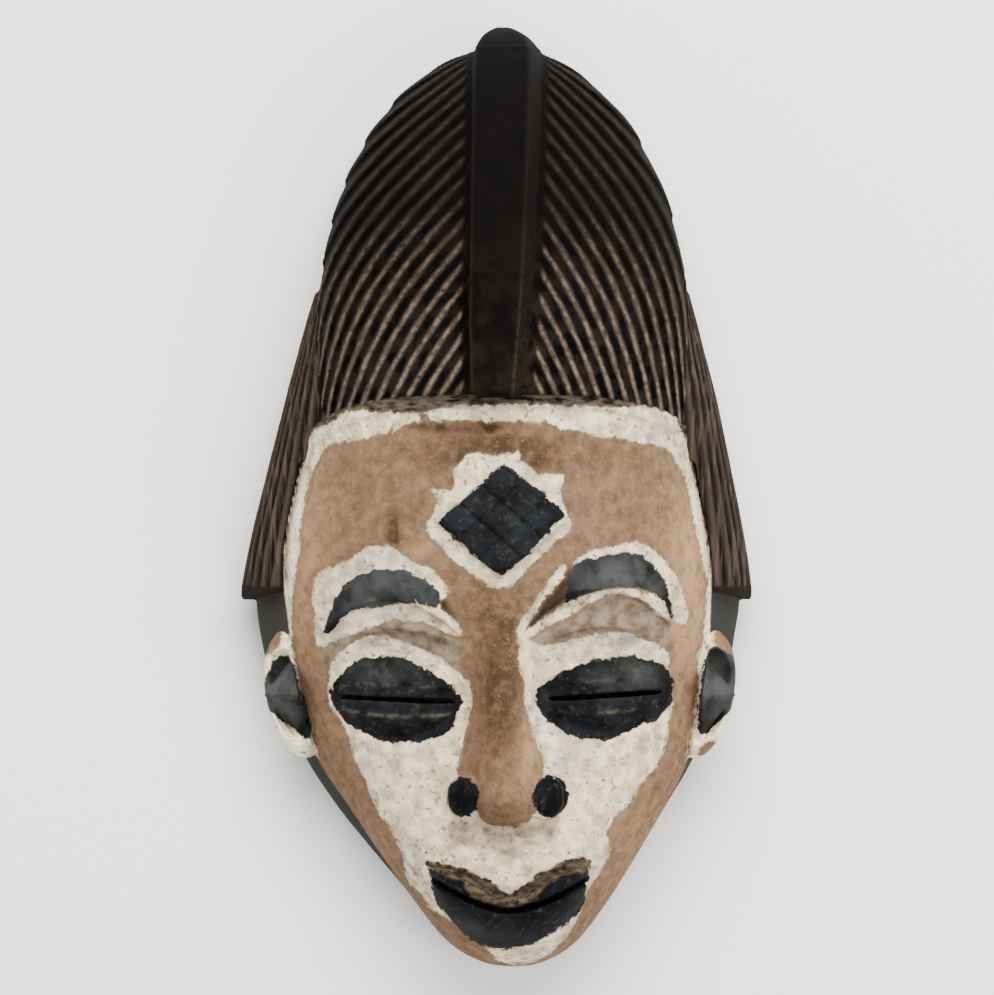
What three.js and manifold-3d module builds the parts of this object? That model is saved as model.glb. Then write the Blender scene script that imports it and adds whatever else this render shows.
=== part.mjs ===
// A Punu mask from Gabon, carved from one block of light wood and painted. It lies on its back, face up.
// Millimetres. +Z points out of the face, +Y towards the crown and +X to the viewer's right.
// The origin is under the middle of the mask, in the plane that the rim rests on.

import * as THREE from "three";
import { mergeVertices } from "three/addons/utils/BufferGeometryUtils.js";
import Module from "manifold-3d";

const wasm = await Module();
wasm.setup();

// Overall sizes
const CHIN_Y = -170;
const CREST_TOP_Y = 170;
const CROWN_Y = 162.4;
const WALL_FOOT = 0;

// Face: a long shield with rounded edges on a low straight wall
const FACE_SQUARENESS = 2.5;
const CHIN_RADIUS = 34;
const CHIN_FLAT = 4;
const CHIN_JOIN_Y = -155.5;
const CHIN_ROUNDING = 22;
const FACE_EDGE_Z = 30;
const FACE_HALF_WIDTH = curveThrough([
  [CHIN_JOIN_Y, 27.9], [-140, 39], [-112, 56.5], [-95, 66.2], [-74, 71.8],
  [-45, 76.8], [-20, 77.2], [5, 72.5], [45, 65],
]);
const FACE_CENTRE = curveThrough([[CHIN_Y, 6], [-112, 4], [-87, 1.8], [-45, 0.8], [0, 0], [45, 2]]);
const FACE_HEIGHT = curveThrough([
  [CHIN_Y, 64], [-148, 72], [-125, 77], [-100, 76], [-72, 76], [-46, 81], [-15, 89], [12, 90], [45, 86],
]);

// Black back rim, wider than the face and open behind
const RIM_EDGE_Z = 20;
const RIM_INNER_Z = 46;
const RIM_TUCK = 14;
const RIM_END_Y = -147;
const RIM_TOP_Y = 60;
const RIM_HALF_WIDTH = curveThrough([
  [RIM_END_Y, 31], [-140, 38.2], [-124, 50.5], [-113, 58.6], [-97, 68.8],
  [-75, 79.5], [-54, 85], [-35, 87.4], [-5, 84], [25, 75], [RIM_TOP_Y, 66],
]);
const RIM_CENTRE = curveThrough([[RIM_END_Y, 4.6], [-124, 2.4], [-97, 1.2], [-40, 0.6], [RIM_TOP_Y, 2.4]]);

// Hair: half an egg, cut off above the forehead, with a plain band under it
const HAIR_CENTRE_X = 2.4;
const HAIR_WAIST_Y = 60;
const HAIR_HALF_WIDTH = 67.3;
const HAIR_HEIGHT = 98;
const HAIR_EDGE_Z = 27;
const HAIRLINE_Y = 36.5;
const HAIRLINE_DROP = 13;
const HAIRLINE_TUCK = 4;
const BAND_WIDTH = 5;
const BAND_LIFT = 2;

// Braids: ridges that run down and outwards from the crest, numbered from its foot outwards.
// The number grows with the height above the hairline and with the turn round the hair.
const BRAIDS = [
  { side: -1, first: -1.5, last: 18, foot: -3.8, rise: 12.1, gain: 1, turned: 11.4, bow: 0.9, cross: 4.6 },
  { side: 1, first: -1.5, last: 15.5, foot: -3.7, rise: 9.9, gain: 1, turned: 13, bow: 1.1, cross: 5.2 },
];
const BRAID_DEPTH = 2;
const BRAID_TOP_Y = 161;
const BRAID_START = 0.1;
const BRAID_END = 1.5;
const BRAID_STEPS = 9;
const BRAID_ROOT = 0.8;

// Crest: a flat band over the crown from the hairline to the back
const CREST_LIFT = 8.5;
const CREST_CENTRE = curveThrough([[HAIRLINE_Y, 0.4], [100, 2.6], [CREST_TOP_Y, 4.4]]);
const CREST_HALF_WIDTH = curveThrough([
  [HAIRLINE_Y, 9.4], [70, 11], [150, 12.2], [160, 11.8], [166, 9.8], [CREST_TOP_Y, 5],
]);

// Side tresses, which hang beside the face and end in a slanting cut
const TRESS_TOP_Y = 74;
const TRESS_END_Y = -33;
const TRESS_END_SLANT = 4.5;
const TRESS_BACK_Z = 14;
const TRESS_FRONT_Z = 48;
const TRESS_CENTRE = curveThrough([[TRESS_END_Y, 0], [30, 1.6], [TRESS_TOP_Y, 2]]);
const TRESS_INNER_X = 60;
const TRESS_OUTER_X = curveThrough([
  [TRESS_END_Y, 92.3], [-20, 90.2], [5, 84.8], [38, 77.2], [60, 71.4], [TRESS_TOP_Y, 67.5],
]);
const TRESS_FURROWS = 7;
const TRESS_FURROW_DEPTH = 1.3;

// Ears: tilted ovals on the side walls, each with a four-sided boss in its middle
const EAR_X = 72.5;
const EAR_Y = -70.5;
const EAR_Z = 33;
const EAR_RADII = new THREE.Vector3(12, 24.5, 17);
const EAR_TILT = 0.2;
const EAR_SHIFT_X = 2;
const BOSS_RADII = new THREE.Vector3(12.5, 16, 18);
const BOSS_LIFT = 6;

// Features of the face
const EYES = [
  { x: -35.8, y: -72.4, halfWidth: 24.8, halfHeight: 15.7, slope: -0.04 },
  { x: 39, y: -71, halfWidth: 24.8, halfHeight: 15.3, slope: 0.06 },
];
const SOCKET_SCALE = 1.42;
const SOCKET_DEPTH = 5;
const LID_RISE = 10;
const SLIT_HALF_LENGTH = 20.5;
const SLIT_WIDTH = 1.8;
const BROWS = [
  { x: -38.3, y: -50, halfWidth: 25, lower: 12, upper: 23.8 },
  { x: 37, y: -47, halfWidth: 26, lower: 13.2, upper: 26.8 },
];
const BROW_RISE = 4.2;
const NOSE_TOP_Y = -36;
const NOSE_TIP_Y = -117;
const NOSE_RISE = curveThrough([
  [NOSE_TIP_Y, 12], [-113.5, 18.5], [-108, 21.5], [-85, 15], [-60, 7.5], [NOSE_TOP_Y, 1.2],
]);
const NOSE_HALF_WIDTH = curveThrough([
  [NOSE_TIP_Y, 8.5], [-108, 12], [-85, 9.5], [-60, 8], [NOSE_TOP_Y, 8],
]);
const NOSE_CENTRE = curveThrough([[NOSE_TIP_Y, 3.6], [-70, 2], [NOSE_TOP_Y, 0.6]]);
const NOSTRIL_RADIUS = 7.5;
const NOSTRIL_Y = -107.5;
const NOSTRIL_OFFSET = 13.6;
const MOUTH_X = 4.7;
const MOUTH_HALF_WIDTH = 28.8;
const MOUTH_CORNER_Y = -136;
const MOUTH_SAG = 12;
const UPPER_LIP_TOP_Y = -131;
const UPPER_LIP_NOTCH = 12.5;
const UPPER_LIP_RISE = 8.5;
const LOWER_LIP_RISE = 10.5;
const LOWER_LIP_DEPTH = 27;
const MARK = { x: 1.6, y: -9.2, halfWidth: 23.2, halfHeight: 20.2 };
const MARK_RISE = 3;
const MARK_CUTS = 3;
const MARK_CUT_WIDTH = 2.4;

// Hollow back
const HOLLOW_CENTRE_Y = -5;
const HOLLOW_RADII = new THREE.Vector3(66, 143, 66);
const HOLLOW_SQUARENESS = 2.5;
const HOLLOW_DOME = 2.2;

// A smooth function through [position, value] pairs.
function curveThrough(stations) {
  const knots = [...stations].sort((a, b) => a[0] - b[0]);
  const last = knots.length - 1;
  const slopes = knots.map((knot, i) => {
    const before = knots[Math.max(i - 1, 0)];
    const after = knots[Math.min(i + 1, last)];
    return (after[1] - before[1]) / (after[0] - before[0]);
  });
  return (at) => {
    const place = THREE.MathUtils.clamp(at, knots[0][0], knots[last][0]);
    let i = 0;
    while (i < last - 1 && place > knots[i + 1][0]) i += 1;
    const span = knots[i + 1][0] - knots[i][0];
    const t = (place - knots[i][0]) / span;
    const turned = 1 - t;
    const level = turned * turned * (1 + 2 * t) * knots[i][1] + t * t * (3 - 2 * t) * knots[i + 1][1];
    return level + span * t * turned * (turned * slopes[i] - t * slopes[i + 1]);
  };
}

// The share of its full height that a rounded section still has at s, from -1 to 1 across it.
function crown(s, squareness = FACE_SQUARENESS) {
  return Math.sqrt(Math.max(0, 1 - Math.abs(s) ** squareness));
}

// Numbers spread from one end to the other.
function spread(from, to, steps) {
  return Array.from({ length: steps + 1 }, (_, i) => from + ((to - from) * i) / steps);
}

// Numbers from -1 to 1, closer together near both ends, as round edges need.
function acrossSection(steps) {
  return spread(-Math.PI / 2, Math.PI / 2, steps).map(Math.sin);
}

function faceHalfWidth(y) {
  if (y > CHIN_JOIN_Y) return FACE_HALF_WIDTH(y);
  const rise = y - (CHIN_Y + CHIN_RADIUS);
  return Math.sqrt(Math.max(CHIN_FLAT ** 2, CHIN_RADIUS ** 2 - rise ** 2));
}

// The front of the face without its features. Towards the chin it rounds off into the wall.
function faceZ(x, y) {
  const s = (x - FACE_CENTRE(y)) / faceHalfWidth(y);
  const turn = Math.max(0, (CHIN_Y + CHIN_ROUNDING - y) / CHIN_ROUNDING);
  const height = FACE_EDGE_Z + (FACE_HEIGHT(y) - FACE_EDGE_Z) * Math.sqrt(Math.max(0, 1 - turn ** 2));
  return FACE_EDGE_Z + (height - FACE_EDGE_Z) * crown(s);
}

// How far the hair has closed in towards the crown: 1 at its waist and 0 at the crown.
function hairScale(y) {
  const rise = Math.max(0, y - HAIR_WAIST_Y) / (CROWN_Y - HAIR_WAIST_Y);
  return Math.sqrt(Math.max(0, 1 - rise ** 2));
}

// The point of the hair at s across it and height y, raised by lift along its own radius.
function hairPoint(s, y, lift = 0) {
  const scale = hairScale(y);
  const below = Math.max(0, HAIR_WAIST_Y - y) / (HAIR_WAIST_Y - HAIRLINE_Y);
  const top = HAIR_HEIGHT - HAIRLINE_TUCK * below ** 2;
  const z = scale * (HAIR_EDGE_Z + (top - HAIR_EDGE_Z) * crown(s));
  const point = new THREE.Vector3(HAIR_CENTRE_X + scale * HAIR_HALF_WIDTH * s, y, z);
  const outwards = new THREE.Vector3(point.x - HAIR_CENTRE_X, Math.max(0, y - HAIR_WAIST_Y), z);
  return point.addScaledVector(outwards.normalize(), lift);
}

// A closed solid through rings of points, with a flat cap at each end, its faces turned outwards.
function loft(rings) {
  const count = rings[0].length;
  const points = rings.flat();
  const index = [];
  for (let ring = 0; ring < rings.length - 1; ring += 1) {
    for (let i = 0; i < count; i += 1) {
      const a = ring * count + i;
      const b = ring * count + ((i + 1) % count);
      index.push(a, b, a + count, b, b + count, a + count);
    }
  }
  for (const [start, turned] of [[0, true], [(rings.length - 1) * count, false]]) {
    const middle = points.length;
    const ring = points.slice(start, start + count);
    points.push(ring.reduce((sum, p) => sum.add(p), new THREE.Vector3()).divideScalar(count));
    for (let i = 0; i < count; i += 1) {
      const a = start + i;
      const b = start + ((i + 1) % count);
      index.push(middle, turned ? b : a, turned ? a : b);
    }
  }
  const geometry = new THREE.BufferGeometry().setFromPoints(points);
  geometry.setIndex(index);
  return solidFrom(geometry);
}

// A closed geometry as a solid for joining and cutting.
function solidFrom(geometry) {
  const bare = geometry.clone();
  bare.deleteAttribute("normal");
  bare.deleteAttribute("uv");
  const merged = mergeVertices(bare, 1e-4);
  const vertProperties = new Float32Array(merged.attributes.position.array);
  const triVerts = new Uint32Array(merged.index.array);
  const made = new wasm.Manifold(new wasm.Mesh({ numProp: 3, vertProperties, triVerts }));
  if (made.volume() > 0) return made;
  const turned = new Uint32Array(triVerts).reverse();
  return new wasm.Manifold(new wasm.Mesh({ numProp: 3, vertProperties, triVerts: turned }));
}

// A patch of relief on the face. Each row is a list of [x, y, rise] across it.
function relief(rows, sink = 7) {
  return loft(rows.map((row) => {
    const top = row.map(([x, y, rise]) => new THREE.Vector3(x, y, faceZ(x, y) + rise));
    const foot = row.map(([x, y]) => new THREE.Vector3(x, y, faceZ(x, y) - sink));
    return [...top, ...foot.reverse()];
  }));
}

// A row across a patch, from its lower to its upper edge, with the rise that profile gives from -1 to 1.
function rowAcross(x, lower, upper, steps, profile) {
  return spread(-1, 1, steps).map((t) => [x, lower + ((upper - lower) * (t + 1)) / 2, profile(t)]);
}

// A V-shaped cutter along a path of points, given with the direction out of the surface at each.
function furrowCutter(path, width, depth) {
  const above = 2;
  const spreadOut = (width / 2) * (1 + above / depth);
  return loft(path.map(({ point, normal }, i) => {
    const before = path[Math.max(i - 1, 0)].point;
    const after = path[Math.min(i + 1, path.length - 1)].point;
    const side = new THREE.Vector3().subVectors(after, before).cross(normal).normalize();
    const raised = point.clone().addScaledVector(normal, above);
    return [
      point.clone().addScaledVector(normal, -depth),
      raised.clone().addScaledVector(side, spreadOut),
      raised.clone().addScaledVector(side, -spreadOut),
    ];
  }));
}

function faceBlock() {
  const rows = [...spread(CHIN_Y, CHIN_Y + CHIN_ROUNDING, 5), ...spread(-136, 38, 11)];
  return loft(rows.map((y) => {
    const front = acrossSection(18).map((s) => {
      const x = FACE_CENTRE(y) + faceHalfWidth(y) * s;
      return new THREE.Vector3(x, y, faceZ(x, y));
    });
    const left = new THREE.Vector3(front[0].x, y, WALL_FOOT);
    const right = new THREE.Vector3(front[front.length - 1].x, y, WALL_FOOT);
    return [left, ...front, right];
  }));
}

function rimBlock() {
  return loft(spread(RIM_END_Y, RIM_TOP_Y, 16).map((y) => {
    const middle = RIM_CENTRE(y);
    const half = RIM_HALF_WIDTH(y);
    const section = [[-half, WALL_FOOT], [-half, RIM_EDGE_Z], [RIM_TUCK - half, RIM_INNER_Z]];
    const mirrored = section.map(([x, z]) => [-x, z]).reverse();
    return [...section, ...mirrored].map(([x, z]) => new THREE.Vector3(middle + x, y, z));
  }));
}

// The rows of the hair follow the hairline at its foot and level out at its waist.
function hairRing(y, lift) {
  const front = acrossSection(16).map((s) => {
    const level = THREE.MathUtils.clamp((HAIR_WAIST_Y - y) / (HAIR_WAIST_Y - HAIRLINE_Y), 0, 2);
    return hairPoint(s, y - HAIRLINE_DROP * level * Math.abs(s) ** 4, lift);
  });
  const ends = [front[0], front[front.length - 1]].map((p) => new THREE.Vector3(p.x, p.y, WALL_FOOT));
  return [ends[0], ...front, ends[1]];
}

// The hair inside the braids.
function hairBlock() {
  const low = spread(HAIRLINE_Y, HAIR_WAIST_Y, 2);
  const turns = spread(0, 1, 8).slice(1).map((t) => Math.sin((t * Math.PI) / 2) * 0.9985);
  const high = turns.map((turn) => HAIR_WAIST_Y + (CROWN_Y - HAIR_WAIST_Y) * turn);
  return loft([...low, ...high].map((y) => hairRing(y, -BRAID_DEPTH - 1.6)));
}

function bandBlock() {
  return loft([HAIRLINE_Y - BAND_WIDTH, HAIRLINE_Y + 3].map((y) => {
    const ring = hairRing(y, 0);
    for (const point of ring.slice(1, -1)) point.z = faceZ(point.x, point.y) + BAND_LIFT;
    return ring;
  }));
}

function hairlineY(turn) {
  return HAIRLINE_Y - HAIRLINE_DROP * Math.sin(turn) ** 4;
}

// The height of a braid at a turn round the hair. A braid falls from the crest outwards.
function braidY({ foot, rise, gain, turned, bow, cross }, number, turn) {
  const slope = rise - cross * turn;
  const level = foot + turned * turn - bow * turn ** 3 - number;
  const share = (Math.sqrt(Math.max(0, slope ** 2 - 4 * gain * level)) - slope) / (2 * gain);
  return HAIRLINE_Y + 100 * share;
}

// The turn at which a braid has come down to a line, within the braids' reach.
function turnWhere(braids, number, lineY) {
  let [near, far] = [BRAID_START, BRAID_END];
  for (let i = 0; i < 20; i += 1) {
    const middle = (near + far) / 2;
    if (braidY(braids, number, middle) > lineY(middle)) near = middle;
    else far = middle;
  }
  return near;
}

// A line along a braid, from the crest or the crown down to the hairline, and back inside the hair.
function braidRing(braids, number, depth) {
  const start = turnWhere(braids, number, () => BRAID_TOP_Y);
  const reach = turnWhere(braids, number, hairlineY);
  const outer = spread(start, reach, BRAID_STEPS).map((turn) => {
    const y = braidY(braids, number, turn);
    return hairPoint(braids.side * Math.sin(turn), y, -depth * Math.min(1, 2 * hairScale(y)));
  });
  const axis = (y) => new THREE.Vector3(HAIR_CENTRE_X, Math.min(y, HAIR_WAIST_Y), 0);
  const inner = [outer[BRAID_STEPS], outer[0]].map((point) => axis(point.y).lerp(point, BRAID_ROOT));
  return [...outer, ...inner];
}

// The braids of one side. Ridges are at whole numbers, with a furrow between each two.
function braidBlock(braids) {
  const numbers = spread(braids.first, braids.last, 2 * (braids.last - braids.first));
  return loft(numbers.map((number) => braidRing(braids, number, number % 1 ? BRAID_DEPTH : 0)));
}

// The crest follows a larger copy of the hair's own outline in side view, down to the back plane.
function crestBlock() {
  const reach = CREST_TOP_Y - HAIR_WAIST_Y;
  const top = HAIR_HEIGHT + CREST_LIFT;
  const low = spread(HAIRLINE_Y - 1, HAIR_WAIST_Y, 2).map((y) => [y, top - 0.1 * (HAIR_WAIST_Y - y), y]);
  const round = spread(0, Math.PI / 2, 12).slice(1).map((turn) => {
    const along = reach * Math.sin(turn);
    return [HAIR_WAIST_Y + along, top * Math.cos(turn), HAIR_WAIST_Y + 0.8 * along];
  });
  return loft([...low, ...round].map(([y, z, innerY]) => {
    const half = CREST_HALF_WIDTH(y);
    const outer = [[-half, 0.97], [-0.85 * half, 1], [0.85 * half, 1], [half, 0.97]];
    const lifted = outer.map(([x, share]) => new THREE.Vector3(CREST_CENTRE(y) + x, y, z * share));
    const inner = [half + 0.6, -half - 0.6].map(
      (x) => new THREE.Vector3(CREST_CENTRE(y) + x, innerY, 0.8 * z),
    );
    return [...lifted, ...inner];
  }));
}

// The section of a tress at height y: flat behind, and round with furrows in front and outside.
function tressRing(y, side, rearY) {
  const outer = TRESS_OUTER_X(y);
  const full = THREE.MathUtils.clamp((TRESS_TOP_Y - y) / 40, 0.25, 1);
  const front = TRESS_BACK_Z + (TRESS_FRONT_Z - TRESS_BACK_Z) * (0.55 + 0.45 * full);
  const round = spread(0, Math.PI / 2, 2 * TRESS_FURROWS).map((turn, i) => {
    const depth = i % 2 ? TRESS_FURROW_DEPTH * full : 0;
    const x = TRESS_INNER_X + (outer - depth - TRESS_INNER_X) * Math.cos(turn) ** 0.55;
    return [x, TRESS_BACK_Z + 6 + (front - depth - TRESS_BACK_Z - 6) * Math.sin(turn) ** 0.7];
  });
  const section = [[TRESS_INNER_X, TRESS_BACK_Z], [outer - 1, TRESS_BACK_Z], ...round];
  return section.map(([x, z]) => {
    const share = (front - z) / (front - TRESS_BACK_Z);
    return new THREE.Vector3(TRESS_CENTRE(y) + side * x, y + (rearY - y) * share, z);
  });
}

function tressBlock(side) {
  const rings = spread(TRESS_END_Y, TRESS_TOP_Y, 7).map((y) => tressRing(y, side, y));
  rings[0] = tressRing(TRESS_END_Y, side, TRESS_END_Y - TRESS_END_SLANT);
  return loft(rings);
}

// An ear: the tilted oval with its boss.
function earBlocks(side) {
  const oval = new THREE.SphereGeometry(1, 16, 10).scale(EAR_RADII.x, EAR_RADII.y, EAR_RADII.z);
  oval.rotateZ(-side * EAR_TILT);
  const boss = new THREE.OctahedronGeometry(1).scale(BOSS_RADII.x, BOSS_RADII.y, BOSS_RADII.z);
  const x = side * EAR_X + EAR_SHIFT_X * (side > 0 ? 1 : 0.3);
  oval.translate(x, EAR_Y, EAR_Z);
  boss.translate(x - side, EAR_Y - 1, EAR_Z + BOSS_LIFT);
  return [solidFrom(oval), solidFrom(boss)];
}

// The hollow round an eye between brow and cheek.
function socketCutter({ x, y, halfWidth, halfHeight }) {
  const bowl = new THREE.SphereGeometry(1, 20, 10);
  const across = SOCKET_SCALE * halfWidth;
  bowl.scale(across, SOCKET_SCALE * halfHeight, SOCKET_DEPTH * 2);
  bowl.rotateY(Math.atan2(x, 150));
  bowl.translate(x, y + 2, faceZ(x, y) + SOCKET_DEPTH * 0.9);
  return solidFrom(bowl);
}

function eyeBlock({ x, y, halfWidth, halfHeight }) {
  return relief(spread(-0.97, 0.97, 10).map((s) => {
    const half = halfHeight * (1 - s * s) ** 0.62;
    const rise = (t) => LID_RISE * (1 - s * s) ** 0.6 * (1 - t * t) ** 0.8 - SOCKET_DEPTH;
    return rowAcross(x + s * halfWidth, y - half, y + half, 6, rise);
  }), SOCKET_DEPTH + 7);
}

// The slit for the wearer to look through, which goes right through the wood.
function slitCutter({ x, y, slope }) {
  const outline = spread(0, 2 * Math.PI, 12).slice(1).map((turn) => {
    const along = SLIT_HALF_LENGTH * Math.cos(turn);
    const bend = Math.sin(turn) * Math.abs(Math.sin(turn)) ** 0.5;
    return new THREE.Vector2(x + along, y - 0.5 + slope * along + (SLIT_WIDTH / 2) * bend);
  });
  const cutter = new THREE.ExtrudeGeometry(new THREE.Shape(outline), { depth: 90, bevelEnabled: false });
  cutter.translate(0, 0, 20);
  return solidFrom(cutter);
}

function browBlock({ x, y, halfWidth, lower, upper }) {
  return relief(spread(-0.96, 0.96, 12).map((s) => {
    const under = y + lower * (1 - Math.abs(s) ** 2.1);
    const over = y + upper * (1 - Math.abs(s) ** 2.7);
    return rowAcross(x + s * halfWidth, under, over, 4, (t) => BROW_RISE * (1 - 0.35 * (t + 1)));
  }));
}

function noseBlock() {
  const rows = [...spread(NOSE_TIP_Y, NOSE_TIP_Y + 9, 3), ...spread(-100, NOSE_TOP_Y, 5)];
  return relief(rows.map((y) => spread(-1, 1, 8).map((t) => {
    const foot = 1 + 0.55 * Math.abs(t) ** 3;
    const x = NOSE_CENTRE(y) + t * foot * NOSE_HALF_WIDTH(y);
    return [x, y, (NOSE_RISE(y) + 2) * (1 - Math.abs(t) ** 2.6) - 2];
  })));
}

function nostrilBlocks() {
  return [-1, 1].map((side) => {
    const x = NOSE_CENTRE(NOSTRIL_Y) + side * NOSTRIL_OFFSET;
    const ball = new THREE.SphereGeometry(NOSTRIL_RADIUS, 12, 8).scale(1, 1.15, 1);
    ball.translate(x, NOSTRIL_Y, faceZ(x, NOSTRIL_Y) + 4.5);
    return solidFrom(ball);
  });
}

// Where the lips meet: a line that sags in the middle.
function lipLine(s) {
  return MOUTH_CORNER_Y - MOUTH_SAG * (1 - Math.abs(s) ** 1.7);
}

function upperLipBlock() {
  return relief(spread(-1, 1, 14).map((s) => {
    const top = UPPER_LIP_TOP_Y - UPPER_LIP_NOTCH * Math.min(1, 1.2 * (1 - Math.abs(s)));
    const swell = UPPER_LIP_RISE * (1 - s ** 6) ** 0.5 * (1 - 0.35 * s * s);
    const rise = (t) => swell * (1 - 0.12 * t * t);
    return rowAcross(MOUTH_X + s * MOUTH_HALF_WIDTH, lipLine(s), top, 3, rise);
  }));
}

function lowerLipBlock() {
  return relief(spread(-0.97, 0.97, 14).map((s) => {
    const foot = MOUTH_CORNER_Y - LOWER_LIP_DEPTH * (1 - s * s) ** 0.62;
    const swell = LOWER_LIP_RISE * (1 - s * s) ** 0.35;
    const rise = (t) => swell * (1 - Math.abs(0.25 * t - 0.75) ** 3 * 0.9);
    return rowAcross(MOUTH_X + s * MOUTH_HALF_WIDTH, foot, lipLine(s) - 0.8, 6, rise);
  }));
}

// The diamond-shaped scar on the forehead, scored both ways into small lozenges.
function markBlock() {
  const { x, y, halfWidth, halfHeight } = MARK;
  return relief(spread(-0.98, 0.98, 8).map((s) => {
    const half = halfHeight * (1 - Math.abs(s));
    return rowAcross(x + s * halfWidth, y - half, y + half, 4, () => MARK_RISE);
  }));
}

function markCutters() {
  const { x, y, halfWidth, halfHeight } = MARK;
  const cutters = [];
  for (let i = 1; i < MARK_CUTS; i += 1) {
    const share = (2 * i) / MARK_CUTS - 1;
    for (const lean of [-1, 1]) {
      const path = [-0.62, 0, 0.62].map((along) => {
        const px = x + (halfWidth / 2) * (share + along * 1.8);
        const py = y + ((lean * halfHeight) / 2) * (along * 1.8 - share);
        const point = new THREE.Vector3(px, py, faceZ(px, py) + MARK_RISE);
        return { point, normal: new THREE.Vector3(0, 0, 1) };
      });
      cutters.push(furrowCutter(path, MARK_CUT_WIDTH, 1.6));
    }
  }
  return cutters;
}

// The hollow: half of a squarish egg, open to the back.
function hollowCutter() {
  const turns = [-0.12, ...spread(0, Math.PI / 2, 6).slice(0, -1), Math.PI / 2 - 0.06];
  return loft(turns.map((turn) => {
    const level = Math.sin(Math.max(0, turn));
    const scale = (1 - level ** HOLLOW_DOME) ** (1 / HOLLOW_SQUARENESS);
    return spread(0, 2 * Math.PI, 24).slice(1).map((round) => {
      const [c, s] = [Math.cos(round), Math.sin(round)];
      const bend = (v) => Math.sign(v) * Math.abs(v) ** (2 / HOLLOW_SQUARENESS);
      const x = HAIR_CENTRE_X / 2 + HOLLOW_RADII.x * scale * bend(c);
      const z = turn < 0 ? -5 : HOLLOW_RADII.z * level;
      return new THREE.Vector3(x, HOLLOW_CENTRE_Y + HOLLOW_RADII.y * scale * bend(s), z);
    });
  }));
}

function joinAll(solids) {
  return solids.reduce((joined, solid) => joined.add(solid));
}

function cutAll(solid, cutters) {
  return solid.subtract(joinAll(cutters));
}

function carvedMask() {
  const face = cutAll(faceBlock(), EYES.map(socketCutter));
  const tresses = [-1, 1].map(tressBlock);
  const mark = cutAll(markBlock(), markCutters());
  const features = [
    ...EYES.map(eyeBlock), ...BROWS.map(browBlock), noseBlock(), ...nostrilBlocks(),
    upperLipBlock(), lowerLipBlock(), mark,
  ];
  const ears = [-1, 1].flatMap(earBlocks);
  const hair = [bandBlock(), hairBlock(), ...BRAIDS.map(braidBlock), crestBlock(), ...tresses];
  const whole = joinAll([face, rimBlock(), ...hair, ...ears, ...features]);
  return cutAll(whole, [hollowCutter(), ...EYES.map(slitCutter)]);
}

function geometryFrom(solid) {
  const { numProp, numVert, vertProperties, triVerts } = solid.getMesh();
  const position = new Float32Array(numVert * 3);
  for (let i = 0; i < numVert; i += 1) {
    position.set(vertProperties.subarray(i * numProp, i * numProp + 3), i * 3);
  }
  const geometry = new THREE.BufferGeometry();
  geometry.setAttribute("position", new THREE.BufferAttribute(position, 3));
  geometry.setIndex(new THREE.BufferAttribute(triVerts, 1));
  return geometry;
}

const paintedWood = new THREE.MeshStandardMaterial({ color: 0x8c6f57, roughness: 0.75, metalness: 0 });
const mask = new THREE.Mesh(geometryFrom(carvedMask()), paintedWood);
mask.name = "mask";

const group = new THREE.Group();
group.add(mask);

export default group;
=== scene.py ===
"""A Punu mask from Gabon: light wood, carved from one block and painted with clay, ochre and black.

The form is carved from a block of points that each know how far they are from the surface. The
surface through them becomes one closed mesh, which is then painted by the distance of each point
from the edges of the painted shapes. Lengths inside the carving are millimetres.
"""

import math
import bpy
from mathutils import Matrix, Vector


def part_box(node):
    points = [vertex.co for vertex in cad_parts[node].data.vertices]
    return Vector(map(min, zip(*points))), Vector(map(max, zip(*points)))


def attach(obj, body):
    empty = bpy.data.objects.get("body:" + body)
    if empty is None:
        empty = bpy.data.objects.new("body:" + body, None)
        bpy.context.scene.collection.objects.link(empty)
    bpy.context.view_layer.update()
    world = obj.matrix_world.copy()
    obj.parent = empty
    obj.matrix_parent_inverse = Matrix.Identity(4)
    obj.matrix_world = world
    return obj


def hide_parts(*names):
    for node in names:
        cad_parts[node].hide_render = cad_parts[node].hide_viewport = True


bl_info = {
    "name": "Carved mask",
    "version": (1, 0, 0),
    "blender": (4, 5, 0),
    "location": "3D View > Sidebar > Carved mask",
    "description": "Carves and paints a Punu mask inside its CAD solid, and sets it on a plain floor",
    "category": "Object",
}

import bpy
import numpy as np

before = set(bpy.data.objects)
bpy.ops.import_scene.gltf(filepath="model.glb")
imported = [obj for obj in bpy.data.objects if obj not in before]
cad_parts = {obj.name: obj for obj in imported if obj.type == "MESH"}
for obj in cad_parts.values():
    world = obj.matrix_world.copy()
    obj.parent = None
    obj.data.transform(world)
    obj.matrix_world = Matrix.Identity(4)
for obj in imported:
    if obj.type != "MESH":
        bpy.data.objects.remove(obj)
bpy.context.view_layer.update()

MM = 0.001

# Distances from a surface are cut off here.
FAR = 30.0


# Curves and smooth joints


def curve_through(*stations):
    """A smooth function through pairs of a position and a value."""
    at, values = np.array(sorted(stations), float).T
    slopes = np.gradient(values, at, edge_order=1)
    slopes[1:-1] = (values[2:] - values[:-2]) / (at[2:] - at[:-2])

    def value(place):
        place = np.clip(place, at[0], at[-1])
        i = np.clip(np.searchsorted(at, place) - 1, 0, len(at) - 2)
        span = at[i + 1] - at[i]
        t = (place - at[i]) / span
        turned = 1 - t
        level = turned**2 * (1 + 2 * t) * values[i] + t**2 * (3 - 2 * t) * values[i + 1]
        level = level + span * t * turned * (turned * slopes[i] - t * slopes[i + 1])
        return np.asarray(level, np.float32)

    return value


def smooth_max(a, b, width):
    """The larger of two fields, with the crease where they meet rounded over a width."""
    overlap = np.maximum(width - np.abs(a - b), 0) / width
    return np.maximum(a, b) + overlap**2 * width / 4


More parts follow.
